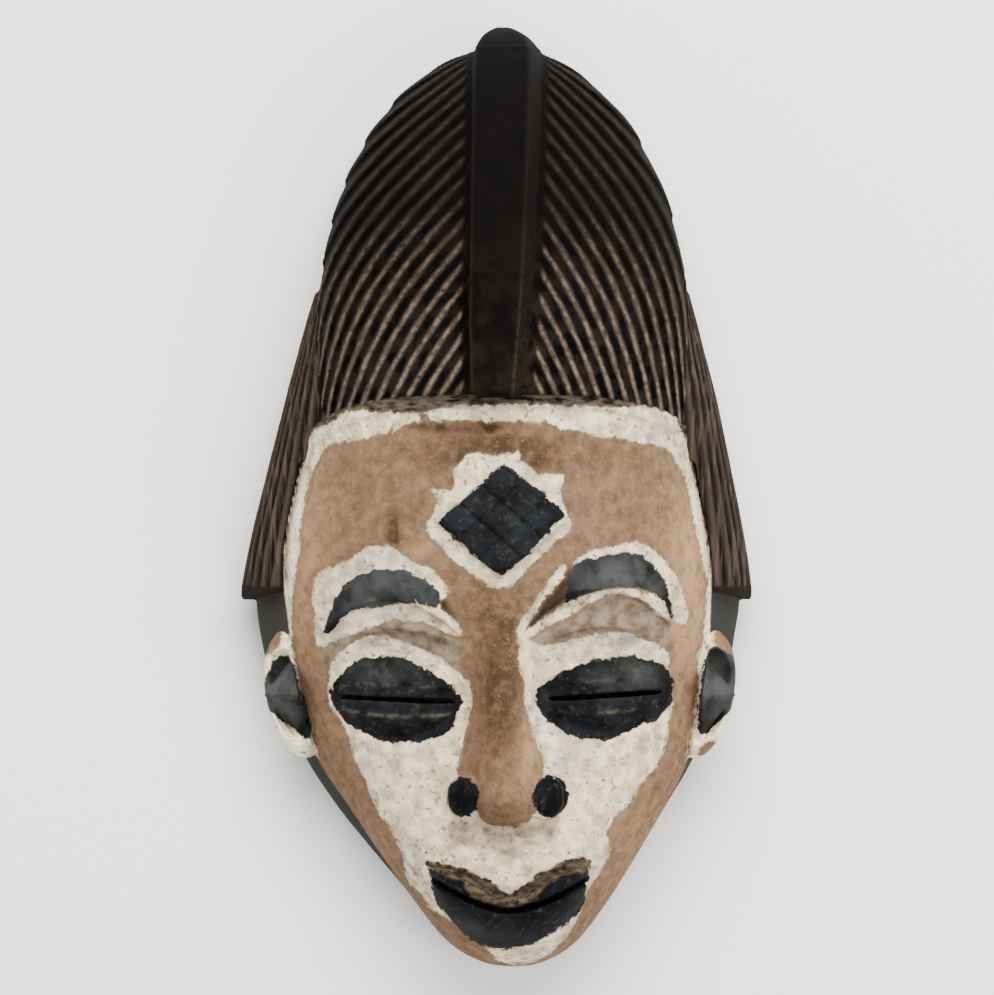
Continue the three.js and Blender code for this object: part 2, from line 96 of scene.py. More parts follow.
def smooth_min(a, b, width):
    """The smaller of two fields, with the crease rounded in the same way."""
    return -smooth_max(-a, -b, width)


def ramp(distance, width):
    """0 outside an edge and 1 inside it, with a straight slope of a given width between."""
    return np.clip(distance / width + 0.5, 0, 1)


# Sizes of the carving, in millimetres

# How wide edges and creases are rounded: those that a knife left crisp, and those that were smoothed.
CRISP = 1
SMOOTHED = 2

# How far a carved step takes to rise.
STEP_WIDTH = 1.2

CHIN_Y = -170
CROWN_Y = 162.4
CREST_TOP_Y = 170

FACE_SQUARENESS = 2.5
CHIN_RADIUS = 34
CHIN_JOIN_Y = -155.5
CHIN_ROUNDING = 22
CHIN_TIP_HALF_WIDTH = 8

# Room inside the box for the unevenness of the surface.
CHIN_CLEARANCE = 0.3
FACE_EDGE_Z = 30
FACE_TOP_Y = 42
FACE_LEAST_RISE = 0.5
FACE_HALF_WIDTH = curve_through(
    (CHIN_JOIN_Y, 27.9), (-140, 39), (-112, 56.5), (-95, 66.2), (-74, 71.8),
    (-45, 76.8), (-20, 77.2), (5, 72.5), (45, 65),
)
FACE_CENTRE = curve_through((CHIN_Y, 6), (-112, 4), (-87, 1.8), (-45, 0.8), (0, 0), (45, 2))
FACE_HEIGHT = curve_through(
    (CHIN_Y, 64), (-148, 72), (-125, 77), (-100, 76), (-72, 76), (-46, 81), (-15, 89), (12, 90),
    (45, 86),
)

RIM_EDGE_Z = 20
RIM_INNER_Z = 46
RIM_SLANT = (26, 14)
RIM_ROUNDING = 3
RIM_END_Y = -147
RIM_TOP_Y = 60
RIM_HALF_WIDTH = curve_through(
    (RIM_END_Y, 31), (-140, 38.2), (-124, 50.5), (-113, 58.6), (-97, 68.8),
    (-75, 79.5), (-54, 85), (-35, 87.4), (-5, 84), (25, 75), (RIM_TOP_Y, 66),
)
RIM_CENTRE = curve_through((RIM_END_Y, 4.6), (-124, 2.4), (-97, 1.2), (-40, 0.6), (RIM_TOP_Y, 2.4))

HAIR_CENTRE_X = 2.4
HAIR_WAIST_Y = 60
HAIR_HALF_WIDTH = 67.3
HAIR_HEIGHT = 98
HAIR_EDGE_Z = 27
HAIRLINE_Y = 36.5
HAIRLINE_DROP = 13
HAIRLINE_TUCK = 4
HAIRLINE_SWELL = 4
HAIR_JOINT = 0.8
BAND_WIDTH = 5
BAND_LIFT = 2
BAND_EDGE = 1.5
BAND_PAINT = 8.5

# The face drops away under the hair: how far, from what height above the hairline, and how fast.
COVERED_DROP = 8
COVERED_FROM = 1.5
COVERED_EDGE = 2

# Braids run down and outwards from the crest, counted from its foot outwards, on the left and the right.
# The count grows with the height above the hairline, in units of 100 mm, and with the turn round the hair.
BRAIDS = (
    {"foot": -3.8, "rise": 12.1, "turned": 11.4, "bow": 0.9, "cross": 4.6},
    {"foot": -3.7, "rise": 9.9, "turned": 13, "bow": 1.1, "cross": 5.2},
)
BRAID_UNIT = 100
BRAID_PARTING = 2.6

# How far a braid strays from its line, as a share of its width, and how fast along and across.
BRAID_WAVER = 0.03
WAVER_ALONG = 0.35
WAVER_ACROSS = 2.1

CREST_CENTRE = curve_through((HAIRLINE_Y, 0.4), (100, 2.6), (CREST_TOP_Y, 4.4))
CREST_HALF_WIDTH = curve_through(
    (HAIRLINE_Y, 9.4), (70, 11), (150, 12.2), (160, 11.8), (166, 9.8), (CREST_TOP_Y, 5),
)
CREST_DIP = 0.1
CREST_ROUNDING = 1.6
CREST_FOOT_ROUNDING = 4
CREST_JOINT = 1.2

# The crest's right side wall leans out by this much over this depth, so that it shows from the front.
CREST_SLANT = 4
CREST_SLANT_DEPTH = 9

TRESS_TOP_Y = 74
TRESS_END_Y = -33
TRESS_END_SLANT = 4.5
TRESS_BACK_Z = 14
TRESS_FRONT_Z = 48
TRESS_CENTRE = curve_through((TRESS_END_Y, 0), (30, 1.6), (TRESS_TOP_Y, 2))
TRESS_INNER_X = 60
TRESS_OUTER_X = curve_through(
    (TRESS_END_Y, 92.3), (-20, 90.2), (5, 84.8), (38, 77.2), (60, 71.4), (TRESS_TOP_Y, 67.5),
)

# A tress's outer side is straight for a stretch from its back, and then turns to its front by these powers.
TRESS_STRAIGHT = 6
TRESS_POWERS = (0.55, 0.7)
TRESS_FURROWS = 7

# Over this length from its upper end a tress gets thicker, from a share of its full thickness.
TRESS_TAPER = 40
TRESS_LEAST_FULL = 0.25
TRESS_TOP_SHARE = 0.55

# Below this height a tress ends at the outline of the face, so that the white border shows whole.
TRESS_CUT_Y = 18
TRESS_CUT_FADE = 12

EAR_CENTRE = (73.6, -71.6, 33)
EAR_SHIFT_X = 1.2
EAR_RADII = (10.8, 23.2, 17)
EAR_TILT = 0.2
EAR_BOWL = 0.74
EAR_BOWL_OUT = 2
EAR_BOWL_FORWARD = 12
EAR_JOINT = 1.5
BOSS_CENTRE = (72.8, -71.5, 39)
BOSS_RADII = (12.5, 16, 18)

EYES = (
    {"x": -35.8, "y": -72.4, "half_width": 24.8, "half_height": 15.7, "slope": -0.04},
    {"x": 39, "y": -71, "half_width": 24.8, "half_height": 15.3, "slope": 0.06},
)
SOCKET_SCALE = 1.42
SOCKET_DEPTH = 5
SOCKET_LIFT = 0.9
SOCKET_SHIFT_Y = 2
SOCKET_LEAN = 150
SOCKET_ROUNDING = 2.5

# The almond narrows, and its bulge falls off across and along, by these powers.
ALMOND_POWER = 0.62
BULGE_POWERS = (0.6, 0.8)
SLIT_HALF_LENGTH = 20.5
SLIT_DROP = 0.5

# Heights of the lids' edges over the slit, and how much they bend towards it at the corners.
LID_EDGES = (5.4, -6)
LID_BEND = 0.75
LID_THICKNESS = 1.5
LID_STEP = 0.9
BROWS = (
    {"x": -38.3, "y": -50, "half_width": 25, "lower": 12, "upper": 23.8},
    {"x": 37, "y": -47, "half_width": 26, "lower": 13.2, "upper": 26.8},
)

# A brow's edges bend by these powers, and it loses this share of its rise up to its upper edge.
BROW_POWERS = (2.1, 2.7)
BROW_SLOPE = 0.7

NOSE_TOP_Y = -36
NOSE_TIP_Y = -117
NOSE_RISE = curve_through(
    (NOSE_TIP_Y, 12), (-113.5, 18.5), (-108, 21.5), (-85, 15), (-60, 7.5), (NOSE_TOP_Y, 1.2),
)
NOSE_HALF_WIDTH = curve_through((NOSE_TIP_Y, 8.5), (-108, 12), (-85, 9.5), (-60, 8), (NOSE_TOP_Y, 8))
NOSE_CENTRE = curve_through((NOSE_TIP_Y, 3.6), (-70, 2), (NOSE_TOP_Y, 0.6))
NOSE_FLARE = 0.55
NOSE_POWER = 2.6
NOSE_JOINT = 1.6

# How deep the nose's form goes on under the face at its sides and at its ends.
NOSE_ROOT = 2
NOSE_SINK = 3

# How far past each end the nose reaches, and over what length it fades out.
NOSE_TIP_FADE = (0.5, 2.5)
NOSE_TOP_FADE = (2, 6)
NOSTRIL_RADIUS = 7.5
NOSTRIL_LENGTH = 1.15
NOSTRIL_LIFT = 4.5
NOSTRIL_JOINT = 1.2
NOSTRIL_Y = -107.5
NOSTRIL_OFFSET = 13.6
MOUTH_X = 4.7
MOUTH_HALF_WIDTH = 28.8
MOUTH_CORNER_Y = -136
MOUTH_SAG = 12
MOUTH_POWER = 1.7
UPPER_LIP_TOP_Y = -131
UPPER_LIP_NOTCH = 12.5
UPPER_LIP_GAP = 0.5
LOWER_LIP_DEPTH = 27
LOWER_LIP_GAP = 1.3
LOWER_LIP_ROLL = 0.8
LIP_STEP = 1.4
MARK_X = 1.6
MARK_Y = -9.2
MARK_HALF_WIDTH = 23.2
MARK_HALF_HEIGHT = 20.2
MARK_CUT_WIDTH = 2.4
MARK_CUT_DEPTH = 1.5
DENT = (-36.5, -12.5)
DENT_DEPTH = 1.3
DENT_REACH = (1, 5.5)

# Everything below this height is planed flat, so that the rim rests without rocking.
FLAT_BACK = 0.5

HOLLOW_CENTRE = (1.2, -5)
HOLLOW_RADII = (66, 143)
HOLLOW_DOME = 2.2

# Hand work: the length of the waves all over, and the size and depth of the facets in the hollow. The
# depth is a share of the waves' height.
WAVE_SIZE = 22
FACET_SIZE = 14
FACET_DEPTH = 2.2


# Painted shapes, as outlines in millimetres

# Edges that two painted shapes share.
LEFT_LID_TOP = ((-53.8, -47.2), (-44.5, -44.6), (-32.6, -43.9), (-24.3, -46.1), (-17.5, -49))
LEFT_LID_FOOT = (
    (-56.7, -56.9), (-48.1, -51.1), (-39.8, -50.4), (-28.3, -54), (-18.2, -59.8), (-12.4, -65.5),
)
RIGHT_LID_TOP = (
    (9.9, -53.6), (12.8, -50), (23.2, -43.9), (33.3, -38.2), (41.2, -34.9), (53.5, -38.2), (57.4, -42.1),
)
RIGHT_LID_FOOT = ((17.8, -53.3), (29, -51.1), (37.6, -49.3), (47, -49))
RIGHT_BROW_FOOT = (
    (23.9, -38.2), (31.1, -35.6), (38.3, -33.5), (48.4, -33.1), (56.3, -34.9), (60.3, -38.9),
)

CLAY_BORDER = (
    (-77.6, -33.1), (-75.8, -14.8), (-74.3, -3.6), (-71.8, 5.4), (-67.3, 21.6), (-57.8, 27), (-51.7, 30.2),
    (-29.3, 29.5), (-17.5, 31.7), (5.9, 32.8), (33.3, 31.7), (60.3, 31.3), (66.4, 22.7), (71.8, 5),
    (74.7, -8.6), (77.9, -30.2), (77.9, -51.8), (74.7, -51.8), (76.1, -33.8), (73.6, -20.9), (71.1, -8.6),
    (68.6, 3.2), (64.6, 12.6), (59.6, 18), (43.4, 20.2), (23.2, 24.1), (12.8, 26.6), (-21.4, 26.6),
    (-34.4, 24.5), (-47.7, 20.5), (-60.7, 17.6), (-65, 11.5), (-67.9, 3.2), (-70, -8.6), (-71.8, -23.8),
    (-74, -43.9), (-72.2, -69.8), (-75.1, -69.8),
)
CLAY_ROUND_MARK = (
    (-22.9, -6.8), (-20.3, -1.8), (-23.6, 1.8), (-15.7, 2.5), (-15.3, 8.3), (-11.3, 14), (-7.4, 15.5),
    (-3.1, 14), (2.7, 14.4), (7, 16.6), (7.7, 13.3), (12.1, 10.4), (14.9, 7.6), (23.2, 7.9), (24.7, 4.3),
    (22.1, 2.9), (23.2, -0.7), (26.5, -8.6), (26.1, -11.9), (18.9, -18.7), (12.8, -23.8), (5.2, -31.7),
    (-2.7, -32), (-13.1, -24.8), (-21.4, -16.9), (-25, -11.9),
)
CLAY_OVER_LEFT_BROW = (
    (-65, -49), (-65.3, -31), (-59.9, -25.9), (-53.8, -23), (-44.5, -18.4), (-37.6, -18.7), (-30.4, -23.4),
    (-23.6, -25.9), (-19.3, -31), (-16.7, -34.6), (-21.4, -37.4), (-58.9, -51.8),
)
CLAY_UNDER_LEFT_BROW = (
    (-64.3, -57.2), (-58.9, -48.2), (-45.5, -39.6), (-21.4, -40), (-13.5, -47.2), (-13.9, -50),
    *LEFT_LID_TOP[::-1], (-61.4, -53.6),
)
CLAY_OVER_RIGHT_BROW = (
    (28.3, -24.1), (36.2, -18.7), (43.4, -17.6), (51.3, -16.2), (56.3, -19.8), (63.5, -27), (66.4, -33.1),
    (68.6, -45), (62.8, -43.9), (51.7, -28.4), (33.7, -26.6),
)
CLAY_UNDER_RIGHT_BROW = (
    (21.4, -26.6), (23.9, -27.7), (12.1, -44.6), (11, -48.2), *RIGHT_BROW_FOOT, (61.7, -43.9),
    *RIGHT_LID_TOP[::-1], (7.4, -51.8), (8.5, -45.4),
)
CLAY_CHEEKS = (
    (-60.3, -62.6), *LEFT_LID_FOOT, (-9.5, -67.3), (-9.2, -74.9), (-10.6, -83.2), (-13.5, -92.5),
    (-14.2, -99.4), (-9.5, -109.4), (-5.2, -116.6), (2.7, -118.8), (11.3, -116.6), (15.7, -109.4),
    (16.7, -95.4), (13.9, -87.1), (11, -75.6), (9.2, -64.4), (8.5, -51.8), *RIGHT_LID_FOOT,
    (59.9, -55.1), (62.1, -60.8), (63.2, -72.7), (58.5, -95.4), (51.7, -103.3), (45.9, -112.3),
    (41.6, -115.2), (39.8, -121.3), (40.5, -126), (38.7, -132.1), (33.7, -140), (30.8, -146.9), (28.6, -153),
    (23.6, -159.5), (17.8, -165.6), (11.7, -167.8), (4.5, -168.5), (-0.2, -166.7), (-4.5, -162),
    (-13.1, -154.4), (-23.9, -147.6), (-25.7, -144), (-31.9, -137.9), (-32.9, -131), (-37.6, -120.2),
    (-42.7, -113.4), (-49.1, -97.6), (-52, -92.5), (-53.8, -83.2), (-59.2, -75.2),
)
CLAY_RIGHT_EDGE = ((72.5, -55), (75.8, -55), (76, -66), (73.8, -79), (71.6, -79), (73, -66))
BLACK_MARK = ((2.7, 11.5), (23.2, -4.3), (25, -6.8), (2, -29.5), (-21.4, -9.7))
BLACK_LEFT_BROW = (
    (-61.4, -48.2), (-58.9, -38.9), (-54.9, -32), (-47.7, -27.4), (-37.6, -26.3), (-31.5, -27.4),
    (-25.4, -30.6), (-21.4, -33.5), (-20.3, -37.4), (-22.5, -40), (-27.5, -38.9), (-37.6, -38.9),
    (-45.5, -39.6), (-53.8, -42.1), (-58.9, -48.2),
)
BLACK_RIGHT_BROW = (
    (28.3, -24.8), (33.3, -22.3), (43.4, -20.5), (52.4, -21.2), (57.4, -25.9), (61.4, -32), (63.5, -38.9),
    (62.8, -43.9), *RIGHT_BROW_FOOT[::-1],
)
BLACK_LEFT_EYE = (
    (-59.9, -68), (-55.6, -63.4), (-49.1, -58.7), (-40.5, -57.2), (-32.9, -58.3), (-25.7, -61.6),
    (-18.9, -65.5), (-14.2, -70.2), (-12.1, -73.1), (-13.5, -77.8), (-18.2, -85.7), (-26.5, -87.5),
    (-35.8, -88.6), (-44.5, -86.4), (-52, -82.4), (-56.7, -77.8), (-59.6, -70.9),
)
BLACK_RIGHT_EYE = (
    (13.9, -70.2), (18.5, -66.2), (23.2, -62.6), (30.8, -59.8), (40.5, -58), (50.6, -57.6), (58.1, -59.4),
    (62.8, -63.4), (63.9, -70.2), (61, -76.7), (54.5, -81.4), (45.9, -85.3), (37.6, -87.5), (28.3, -86),
    (21.4, -83.2), (16, -77.8),
)
BLACK_LIP = (
    (-24, -133), (-23.6, -136.8), (-23.2, -141.1), (-21.1, -146.5), (-16.7, -151.9), (-11, -157.7),
    (-4.9, -162), (0.9, -163.1), (5.9, -162.7), (11.7, -160.9), (18.9, -157.7), (25.4, -153.7),
    (30.4, -148.3), (32.2, -142.9), (32.7, -133.6), (22.5, -134.5), (14, -139.5), (5, -145.5), (-5, -139.5),
    (-14, -135.5),
)
BLACK_LEFT_EAR = ((-75.1, -56.9), (-85, -72.4), (-66.8, -87.5))
BLACK_RIGHT_EAR = ((76.9, -54), (90, -68.4), (72.9, -86.4))
UMBER_LIP = (
    (-24.9, -133.1), (-24.6, -130.4), (-19.6, -131.1), (-12.5, -132.9), (-6.5, -135.4), (-0.4, -138.9),
    (4.4, -143.2), (8.2, -140.9), (13.2, -136.9), (18.8, -133.4), (24.9, -130.1), (32.9, -130.4),
    (32.7, -134.4), (25.4, -135.4), (19.3, -138.7), (13.8, -143.5), (9.7, -146.3), (4.1, -147.8),
    (-2.4, -146), (-8.5, -143.9), (-11.3, -140.4), (-12.5, -137.7), (-18.1, -135.9),
)
UMBER_LEFT_TAIL = ((-21.4, -33.5), (-17.8, -37.4), (-14.2, -44.6), (-20.3, -41.8), (-22.5, -39.2))
UMBER_RIGHT_TAIL = ((28.3, -25.6), (24.7, -38.2), (17.5, -43.2), (10.6, -49.3), (13.9, -41), (19.3, -32))
UMBER_SMEAR = ((-33, 26.5), (-12, 27.6), (2, 26.4), (0, 23), (-20, 23.4), (-31, 24))
GREY_LEFT_LID = (
    (-62.8, -55.1), *LEFT_LID_TOP, (-12.4, -55.4), *LEFT_LID_FOOT[::-1], (-61.4, -61.9),
)
GREY_RIGHT_LID = (*RIGHT_LID_TOP, (62.5, -51.8), (62.1, -57.2), *RIGHT_LID_FOOT[::-1], (11, -55.1))
# A painted shadow under the nose, and painted shade down the groove of the upper lip.
SHADOW_UNDER_NOSE = ((-16.4, -117), (0, -119), (20, -116.6), (19, -124), (4, -126), (-15, -124.5))
SHADE_IN_PHILTRUM = ((0, -125), (8.1, -125), (4.6, -134.3))

# How far from its edge a painted shape is measured, and the points on each stretch of a rounded outline.
PAINT_REACH = 8
CORNER_STEPS = 4

# Soft patches: where, how far they reach across and along, and how pale, above 0, or dark they are.
OCHRE_TONES = (
    (2, -70, 7, 22, -1.3), (-2, -40, 12, 12, -0.5), (0, 15, 26, 8, -1.2), (-40, -2, 26, 20, -0.1),
    (70, -32, 9, 38, 1.1), (-69, -24, 9, 44, 0.8), (12, -88, 4, 16, 0.9), (4, -112, 10, 6, -0.3),
    (50, 6, 12, 14, -0.1), (-44, -128, 14, 26, 0.2), (48, -118, 14, 30, 0.3), (-37, -13, 2.5, 6, -1.4),
    (-27, -19, 7, 5, 0.6),
)

# Where the black is dusty, with a painted sheen on the brows, and where the clay has gone from the
# ears: place, reach and amount.
BLACK_DUST_AND_SHEEN = (
    (-40, -34, 20, 10, 0.9), (45, -30, 18, 10, 1), (-42, -62, 12, 5, 0.4), (50, -63, 10, 5, 0.6),
    (-78, -71, 9, 16, 1), (80, -69, 9, 16, 0.9), (-6, -154, 8, 4, 0.25), (2, -9, 22, 20, 0.15),
    (-36, -74, 24, 14, 0.12), (39, -73, 24, 14, 0.12),
)
EAR_TAN = ((-82.5, -50, 3.5, 5, 1), (83.5, -52, 3.5, 6, 1), (78.5, -92, 5, 3, 0.6))
EAR_TAN_DEPTH = 9
NOSTRIL_SPOTS = ((-12.1, -107.6, 6, 6.8), (19.4, -107.5, 6.2, 7.6))

# Past this distance from the middle, on the border and the ears, the clay is painted brighter as
# painted light on the steep sides, which turn away from the lamps.
LIT_SIDES_X = 69
LIT_SIDES_FADE = 4

# How near to the surface of the ears their clay begins, and how far off the face it stays.
EAR_CLAY_NEAR = 1
EAR_CLAY_OFF_FACE = 0.6

# How near to the wall of the hollow the wood is bare, and how wide a lid's edge is lightened,
# rubbed thin and with a painted highlight.
HOLLOW_BARE = 1.2
RUB_AND_HIGHLIGHT_WIDTH = 0.7

# Wear falls from the hairline to the crown. It is less on the crest, the tresses and their cut ends.
WEAR_AT_HAIRLINE = 1.05
WEAR_REACH = 68
WEAR_LEAST = 0.07
CREST_WEAR = 0.4
TRESS_WEAR = 0.4
CUT_END_WEAR = 0.1
CUT_END_HEIGHT = 0.8

# How dark the stain lies, as the depth of a groove: 0 is a ridge and 1 the bottom between ridges.
# The darkening towards the bottom is stain and painted shade.
CREST_EDGE_GROOVE = 0.3
CREST_TOP_GROOVE = 0.75
CREST_WALL_GROOVE = 0.5
CREST_EDGE_FADE = 3
RIM_GROOVE = 0.5
CUT_END_GROOVE = 0.6
TRESS_RIDGE_GROOVE = 0.25
TRESS_FURROW_GROOVE = 0.6


# The block and its forms


class Block:
    """A block of wood as a grid of points, in millimetres."""

    def __init__(self, low, high, step):
        self.step = step
        self.low = np.array(low, np.float32)
        sides = [np.arange(a, b + step, step, dtype=np.float32) for a, b in zip(low, high)]
        self.x, self.y, self.z = np.meshgrid(*sides, indexing="ij", sparse=True)

    def distance(self, level):
        """How far each point is from where a field crosses zero."""
        slope = np.sqrt(sum(side**2 for side in np.gradient(level, self.step)))
        return np.clip(level / np.maximum(slope, 1e-3), -FAR, FAR).astype(np.float32)

    def sample(self, field, points):
        """The field between its points, at free points."""
        place = (points - self.low) / self.step
        corner = np.clip(place.astype(int), 0, np.array(field.shape) - 2)
        share = place - corner
        value = 0
        for offset in np.ndindex(2, 2, 2):
            weight = np.prod(np.where(offset, share, 1 - share), axis=1)
            value = value + weight * field[tuple((corner + offset).T)]
        return value


def face_half_width(y):
    chin = np.sqrt(np.maximum(CHIN_TIP_HALF_WIDTH**2, CHIN_RADIUS**2 - (y - CHIN_Y - CHIN_RADIUS) ** 2))
    return np.where(y > CHIN_JOIN_Y, FACE_HALF_WIDTH(y), chin)


def face_top(y):
    """The height of the face along its middle. Towards the chin it rounds off into the wall."""
    turn = np.clip((CHIN_Y + CHIN_ROUNDING - y) / CHIN_ROUNDING, 0, 1)
    return FACE_EDGE_Z + np.maximum((FACE_HEIGHT(y) - FACE_EDGE_Z) * np.sqrt(1 - turn**2), FACE_LEAST_RISE)


def face_z(x, y):
    s = np.abs(x - FACE_CENTRE(y)) / face_half_width(y)
    return FACE_EDGE_Z + (face_top(y) - FACE_EDGE_Z) * np.sqrt(np.maximum(0, 1 - s**FACE_SQUARENESS))


def with_socket(height, x, y, eye):
    """Hollows the face round an eye."""
    centre = face_z(np.array(eye["x"]), np.array(eye["y"])) + SOCKET_LIFT * SOCKET_DEPTH
    across = (x - eye["x"]) / (SOCKET_SCALE * eye["half_width"])
    along = (y - eye["y"] - SOCKET_SHIFT_Y) / (SOCKET_SCALE * eye["half_height"])
    reach = 1 - across**2 - along**2
    lean = -(x - eye["x"]) * eye["x"] / SOCKET_LEAN
    bowl = centre + lean - 2 * SOCKET_DEPTH * np.sqrt(np.maximum(reach, 0))
    return np.where(reach > 0, smooth_min(height, bowl, SOCKET_ROUNDING), height)


def slit_y(x, eye):
    return eye["y"] - SLIT_DROP + eye["slope"] * (x - eye["x"])


def past_lids(x, y, eye):
    """Where a place is across an eye, from -1 to 1, and how far above the edge of each lid."""
    s = np.clip((x - eye["x"]) / eye["half_width"], -1, 1)
    return s, [y - slit_y(x, eye) - edge * np.sqrt(1 - LID_BEND * s**2) for edge in LID_EDGES]


def with_eye(height, face, x, y, eye, rise):
    """Raises the almond of an eye. Both lids stand proud of the eyeball between them."""
    s, (past_upper, past_lower) = past_lids(x, y, eye)
    half = eye["half_height"] * (1 - s**2) ** ALMOND_POWER + 0.01
    t = (y - eye["y"]) / half
    across, along = BULGE_POWERS
    bulge = rise * (1 - s**2) ** across * np.maximum(0, 1 - t**2) ** along - SOCKET_DEPTH
    between = ramp(-past_upper, LID_STEP) * ramp(past_lower, LID_STEP) * ramp(0.9 - np.abs(s), 0.2)
    bulge = bulge - LID_THICKNESS * between
    return np.where(np.abs(t) < 1, smooth_max(height, face + bulge, CRISP), height)


def raised(height, top, inside):
    """Lifts a height to a top over it, by the share that is inside an outline."""
    return height + (np.maximum(top, height) - height) * inside


def with_brow(height, face, x, y, brow, rise):
    """Raises a brow, which stands proud at its lower edge and slopes back above it."""
    s = np.minimum(np.abs(x - brow["x"]) / brow["half_width"], 1)
    under = brow["y"] + brow["lower"] * (1 - s ** BROW_POWERS[0])
    over = brow["y"] + brow["upper"] * (1 - s ** BROW_POWERS[1])
    share = np.clip((y - under) / np.maximum(over - under, 0.5), 0, 1)
    inside = ramp(y - under, STEP_WIDTH) * ramp(over - y, STEP_WIDTH) * ramp(1 - s, 0.1)
    return raised(height, face + rise * (1 - BROW_SLOPE * share), inside)


def with_nose(height, face, x, y):
    """Raises the nose, a round ridge that spreads at its foot."""
    v = np.abs(x - NOSE_CENTRE(y)) / NOSE_HALF_WIDTH(y)

    # Newton's method finds the t for which t + NOSE_FLARE * t**4 is v.
    t = np.minimum(v, 1.3)
    for _ in range(4):
        t = t - (t + NOSE_FLARE * t**4 - v) / (1 + 4 * NOSE_FLARE * t**3)
    ridge = (NOSE_RISE(y) + NOSE_ROOT) * (1 - np.clip(t, 0, 1.2) ** NOSE_POWER) - NOSE_ROOT
    past_tip, tip_fade = NOSE_TIP_FADE
    past_top, top_fade = NOSE_TOP_FADE
    ends = ramp(y - NOSE_TIP_Y + past_tip, tip_fade) * ramp(NOSE_TOP_Y + past_top - y, top_fade)
    return smooth_max(height, face + (ridge + NOSE_SINK) * ends - NOSE_SINK, NOSE_JOINT)


def with_nostril(height, x, y, side):
    """Raises the ball of a wing of the nose."""
    cx = float(NOSE_CENTRE(np.array(NOSTRIL_Y))) + side * NOSTRIL_OFFSET
    along = (y - NOSTRIL_Y) / (NOSTRIL_LENGTH * NOSTRIL_RADIUS)
    reach = 1 - ((x - cx) / NOSTRIL_RADIUS) ** 2 - along**2
    base = face_z(np.array(cx), np.array(NOSTRIL_Y)) + NOSTRIL_LIFT
    ball = base + NOSTRIL_RADIUS * np.sqrt(np.maximum(reach, 0))
    return np.where(reach > 0, smooth_max(height, ball, NOSTRIL_JOINT), height)


def lip_line(s):
    """Where the lips meet: a line that sags in the middle."""
    return MOUTH_CORNER_Y - MOUTH_SAG * (1 - np.abs(s) ** MOUTH_POWER)


def with_lips(height, face, x, y, upper_rise, lower_rise):
    """Raises the upper lip, and the lower lip with its roll below the line where they meet."""
    s = np.clip((x - MOUTH_X) / MOUTH_HALF_WIDTH, -1, 1)
    meet = lip_line(s)
    ends = ramp(MOUTH_HALF_WIDTH - np.abs(x - MOUTH_X), 1)
    top = UPPER_LIP_TOP_Y - UPPER_LIP_NOTCH * np.minimum(1, 1.2 * (1 - np.abs(s)))
    swell = upper_rise * (1 - s**6) ** 0.5 * (1 - 0.35 * s**2)
    inside = ramp(y - meet - UPPER_LIP_GAP, LIP_STEP) * ramp(top - y, STEP_WIDTH) * ends
    height = raised(height, face + swell, inside)
    foot = MOUTH_CORNER_Y - LOWER_LIP_DEPTH * (1 - s**2) ** 0.62
    share = np.clip((y - foot) / np.maximum(meet - LOWER_LIP_ROLL - foot, 0.5), 0, 1)
    swell = lower_rise * (1 - s**2) ** 0.35 * (1 - 0.9 * np.abs(0.5 * share - 1) ** 3)
    inside = ramp(y - foot, STEP_WIDTH) * ramp(meet - LOWER_LIP_GAP - y, LIP_STEP) * ends
    return raised(height, face + swell, inside)


def with_mark(height, face, x, y, rise):
    """Raises the diamond on the forehead and scores it both ways."""
    u = (x - MARK_X) / MARK_HALF_WIDTH
    v = (y - MARK_Y) / MARK_HALF_HEIGHT
    across = MARK_HALF_WIDTH * MARK_HALF_HEIGHT / math.hypot(MARK_HALF_WIDTH, MARK_HALF_HEIGHT)
    top = face + rise
    for lean in (u + v, u - v):
        for share in (-1 / 3, 1 / 3):
            cut = np.abs(lean - share) * across / (MARK_CUT_WIDTH / 2)
            top = top - MARK_CUT_DEPTH * np.maximum(0, 1 - cut)
    return height + (top - height) * ramp((1 - np.abs(u) - np.abs(v)) * across, STEP_WIDTH)


def face_relief(x, y, sizes):
    """How far the carved face stands in front of its plain shield."""
    face = face_z(x, y)
    height = face
    for eye in EYES:
        height = with_socket(height, x, y, eye)
    for eye in EYES:
        height = with_eye(height, face, x, y, eye, sizes.lid_rise / MM)
    for brow in BROWS:
        height = with_brow(height, face, x, y, brow, sizes.brow_rise / MM)
    height = with_nose(height, face, x, y)
    for side in (-1, 1):
        height = with_nostril(height, x, y, side)
    height = with_lips(height, face, x, y, sizes.upper_lip_rise / MM, sizes.lower_lip_rise / MM)
    height = with_mark(height, face, x, y, sizes.mark_rise / MM)
    dent = sum(((p - at) / reach) ** 2 for p, at, reach in zip((x, y), DENT, DENT_REACH))
    height = height - DENT_DEPTH * np.exp(-dent)
    above = y - hairline_y(x)
    band = BAND_LIFT * ramp(above + BAND_WIDTH, BAND_EDGE)
    return height - face + band - COVERED_DROP * ramp(above - COVERED_FROM, COVERED_EDGE)


def face_level(block, relief):
    s = np.abs(block.x - FACE_CENTRE(block.y)) / face_half_width(block.y)
    rise = (block.z - relief - FACE_EDGE_Z) / (face_top(block.y) - FACE_EDGE_Z)
    return s**FACE_SQUARENESS + np.maximum(rise, 0) ** 2 - 1


def chin_distance(block):
    """The distance from the round end of the chin, which cuts off what reaches past it."""
    reach = np.hypot(block.x - FACE_CENTRE(block.y), block.y - CHIN_Y - CHIN_RADIUS)
    return np.where(block.y < CHIN_JOIN_Y, reach - CHIN_RADIUS + CHIN_CLEARANCE, -FAR)


def past_face(x, y):
    """How far a place is outside the outline of the face, to its sides."""
    return np.abs(x - FACE_CENTRE(y)) - face_half_width(y)


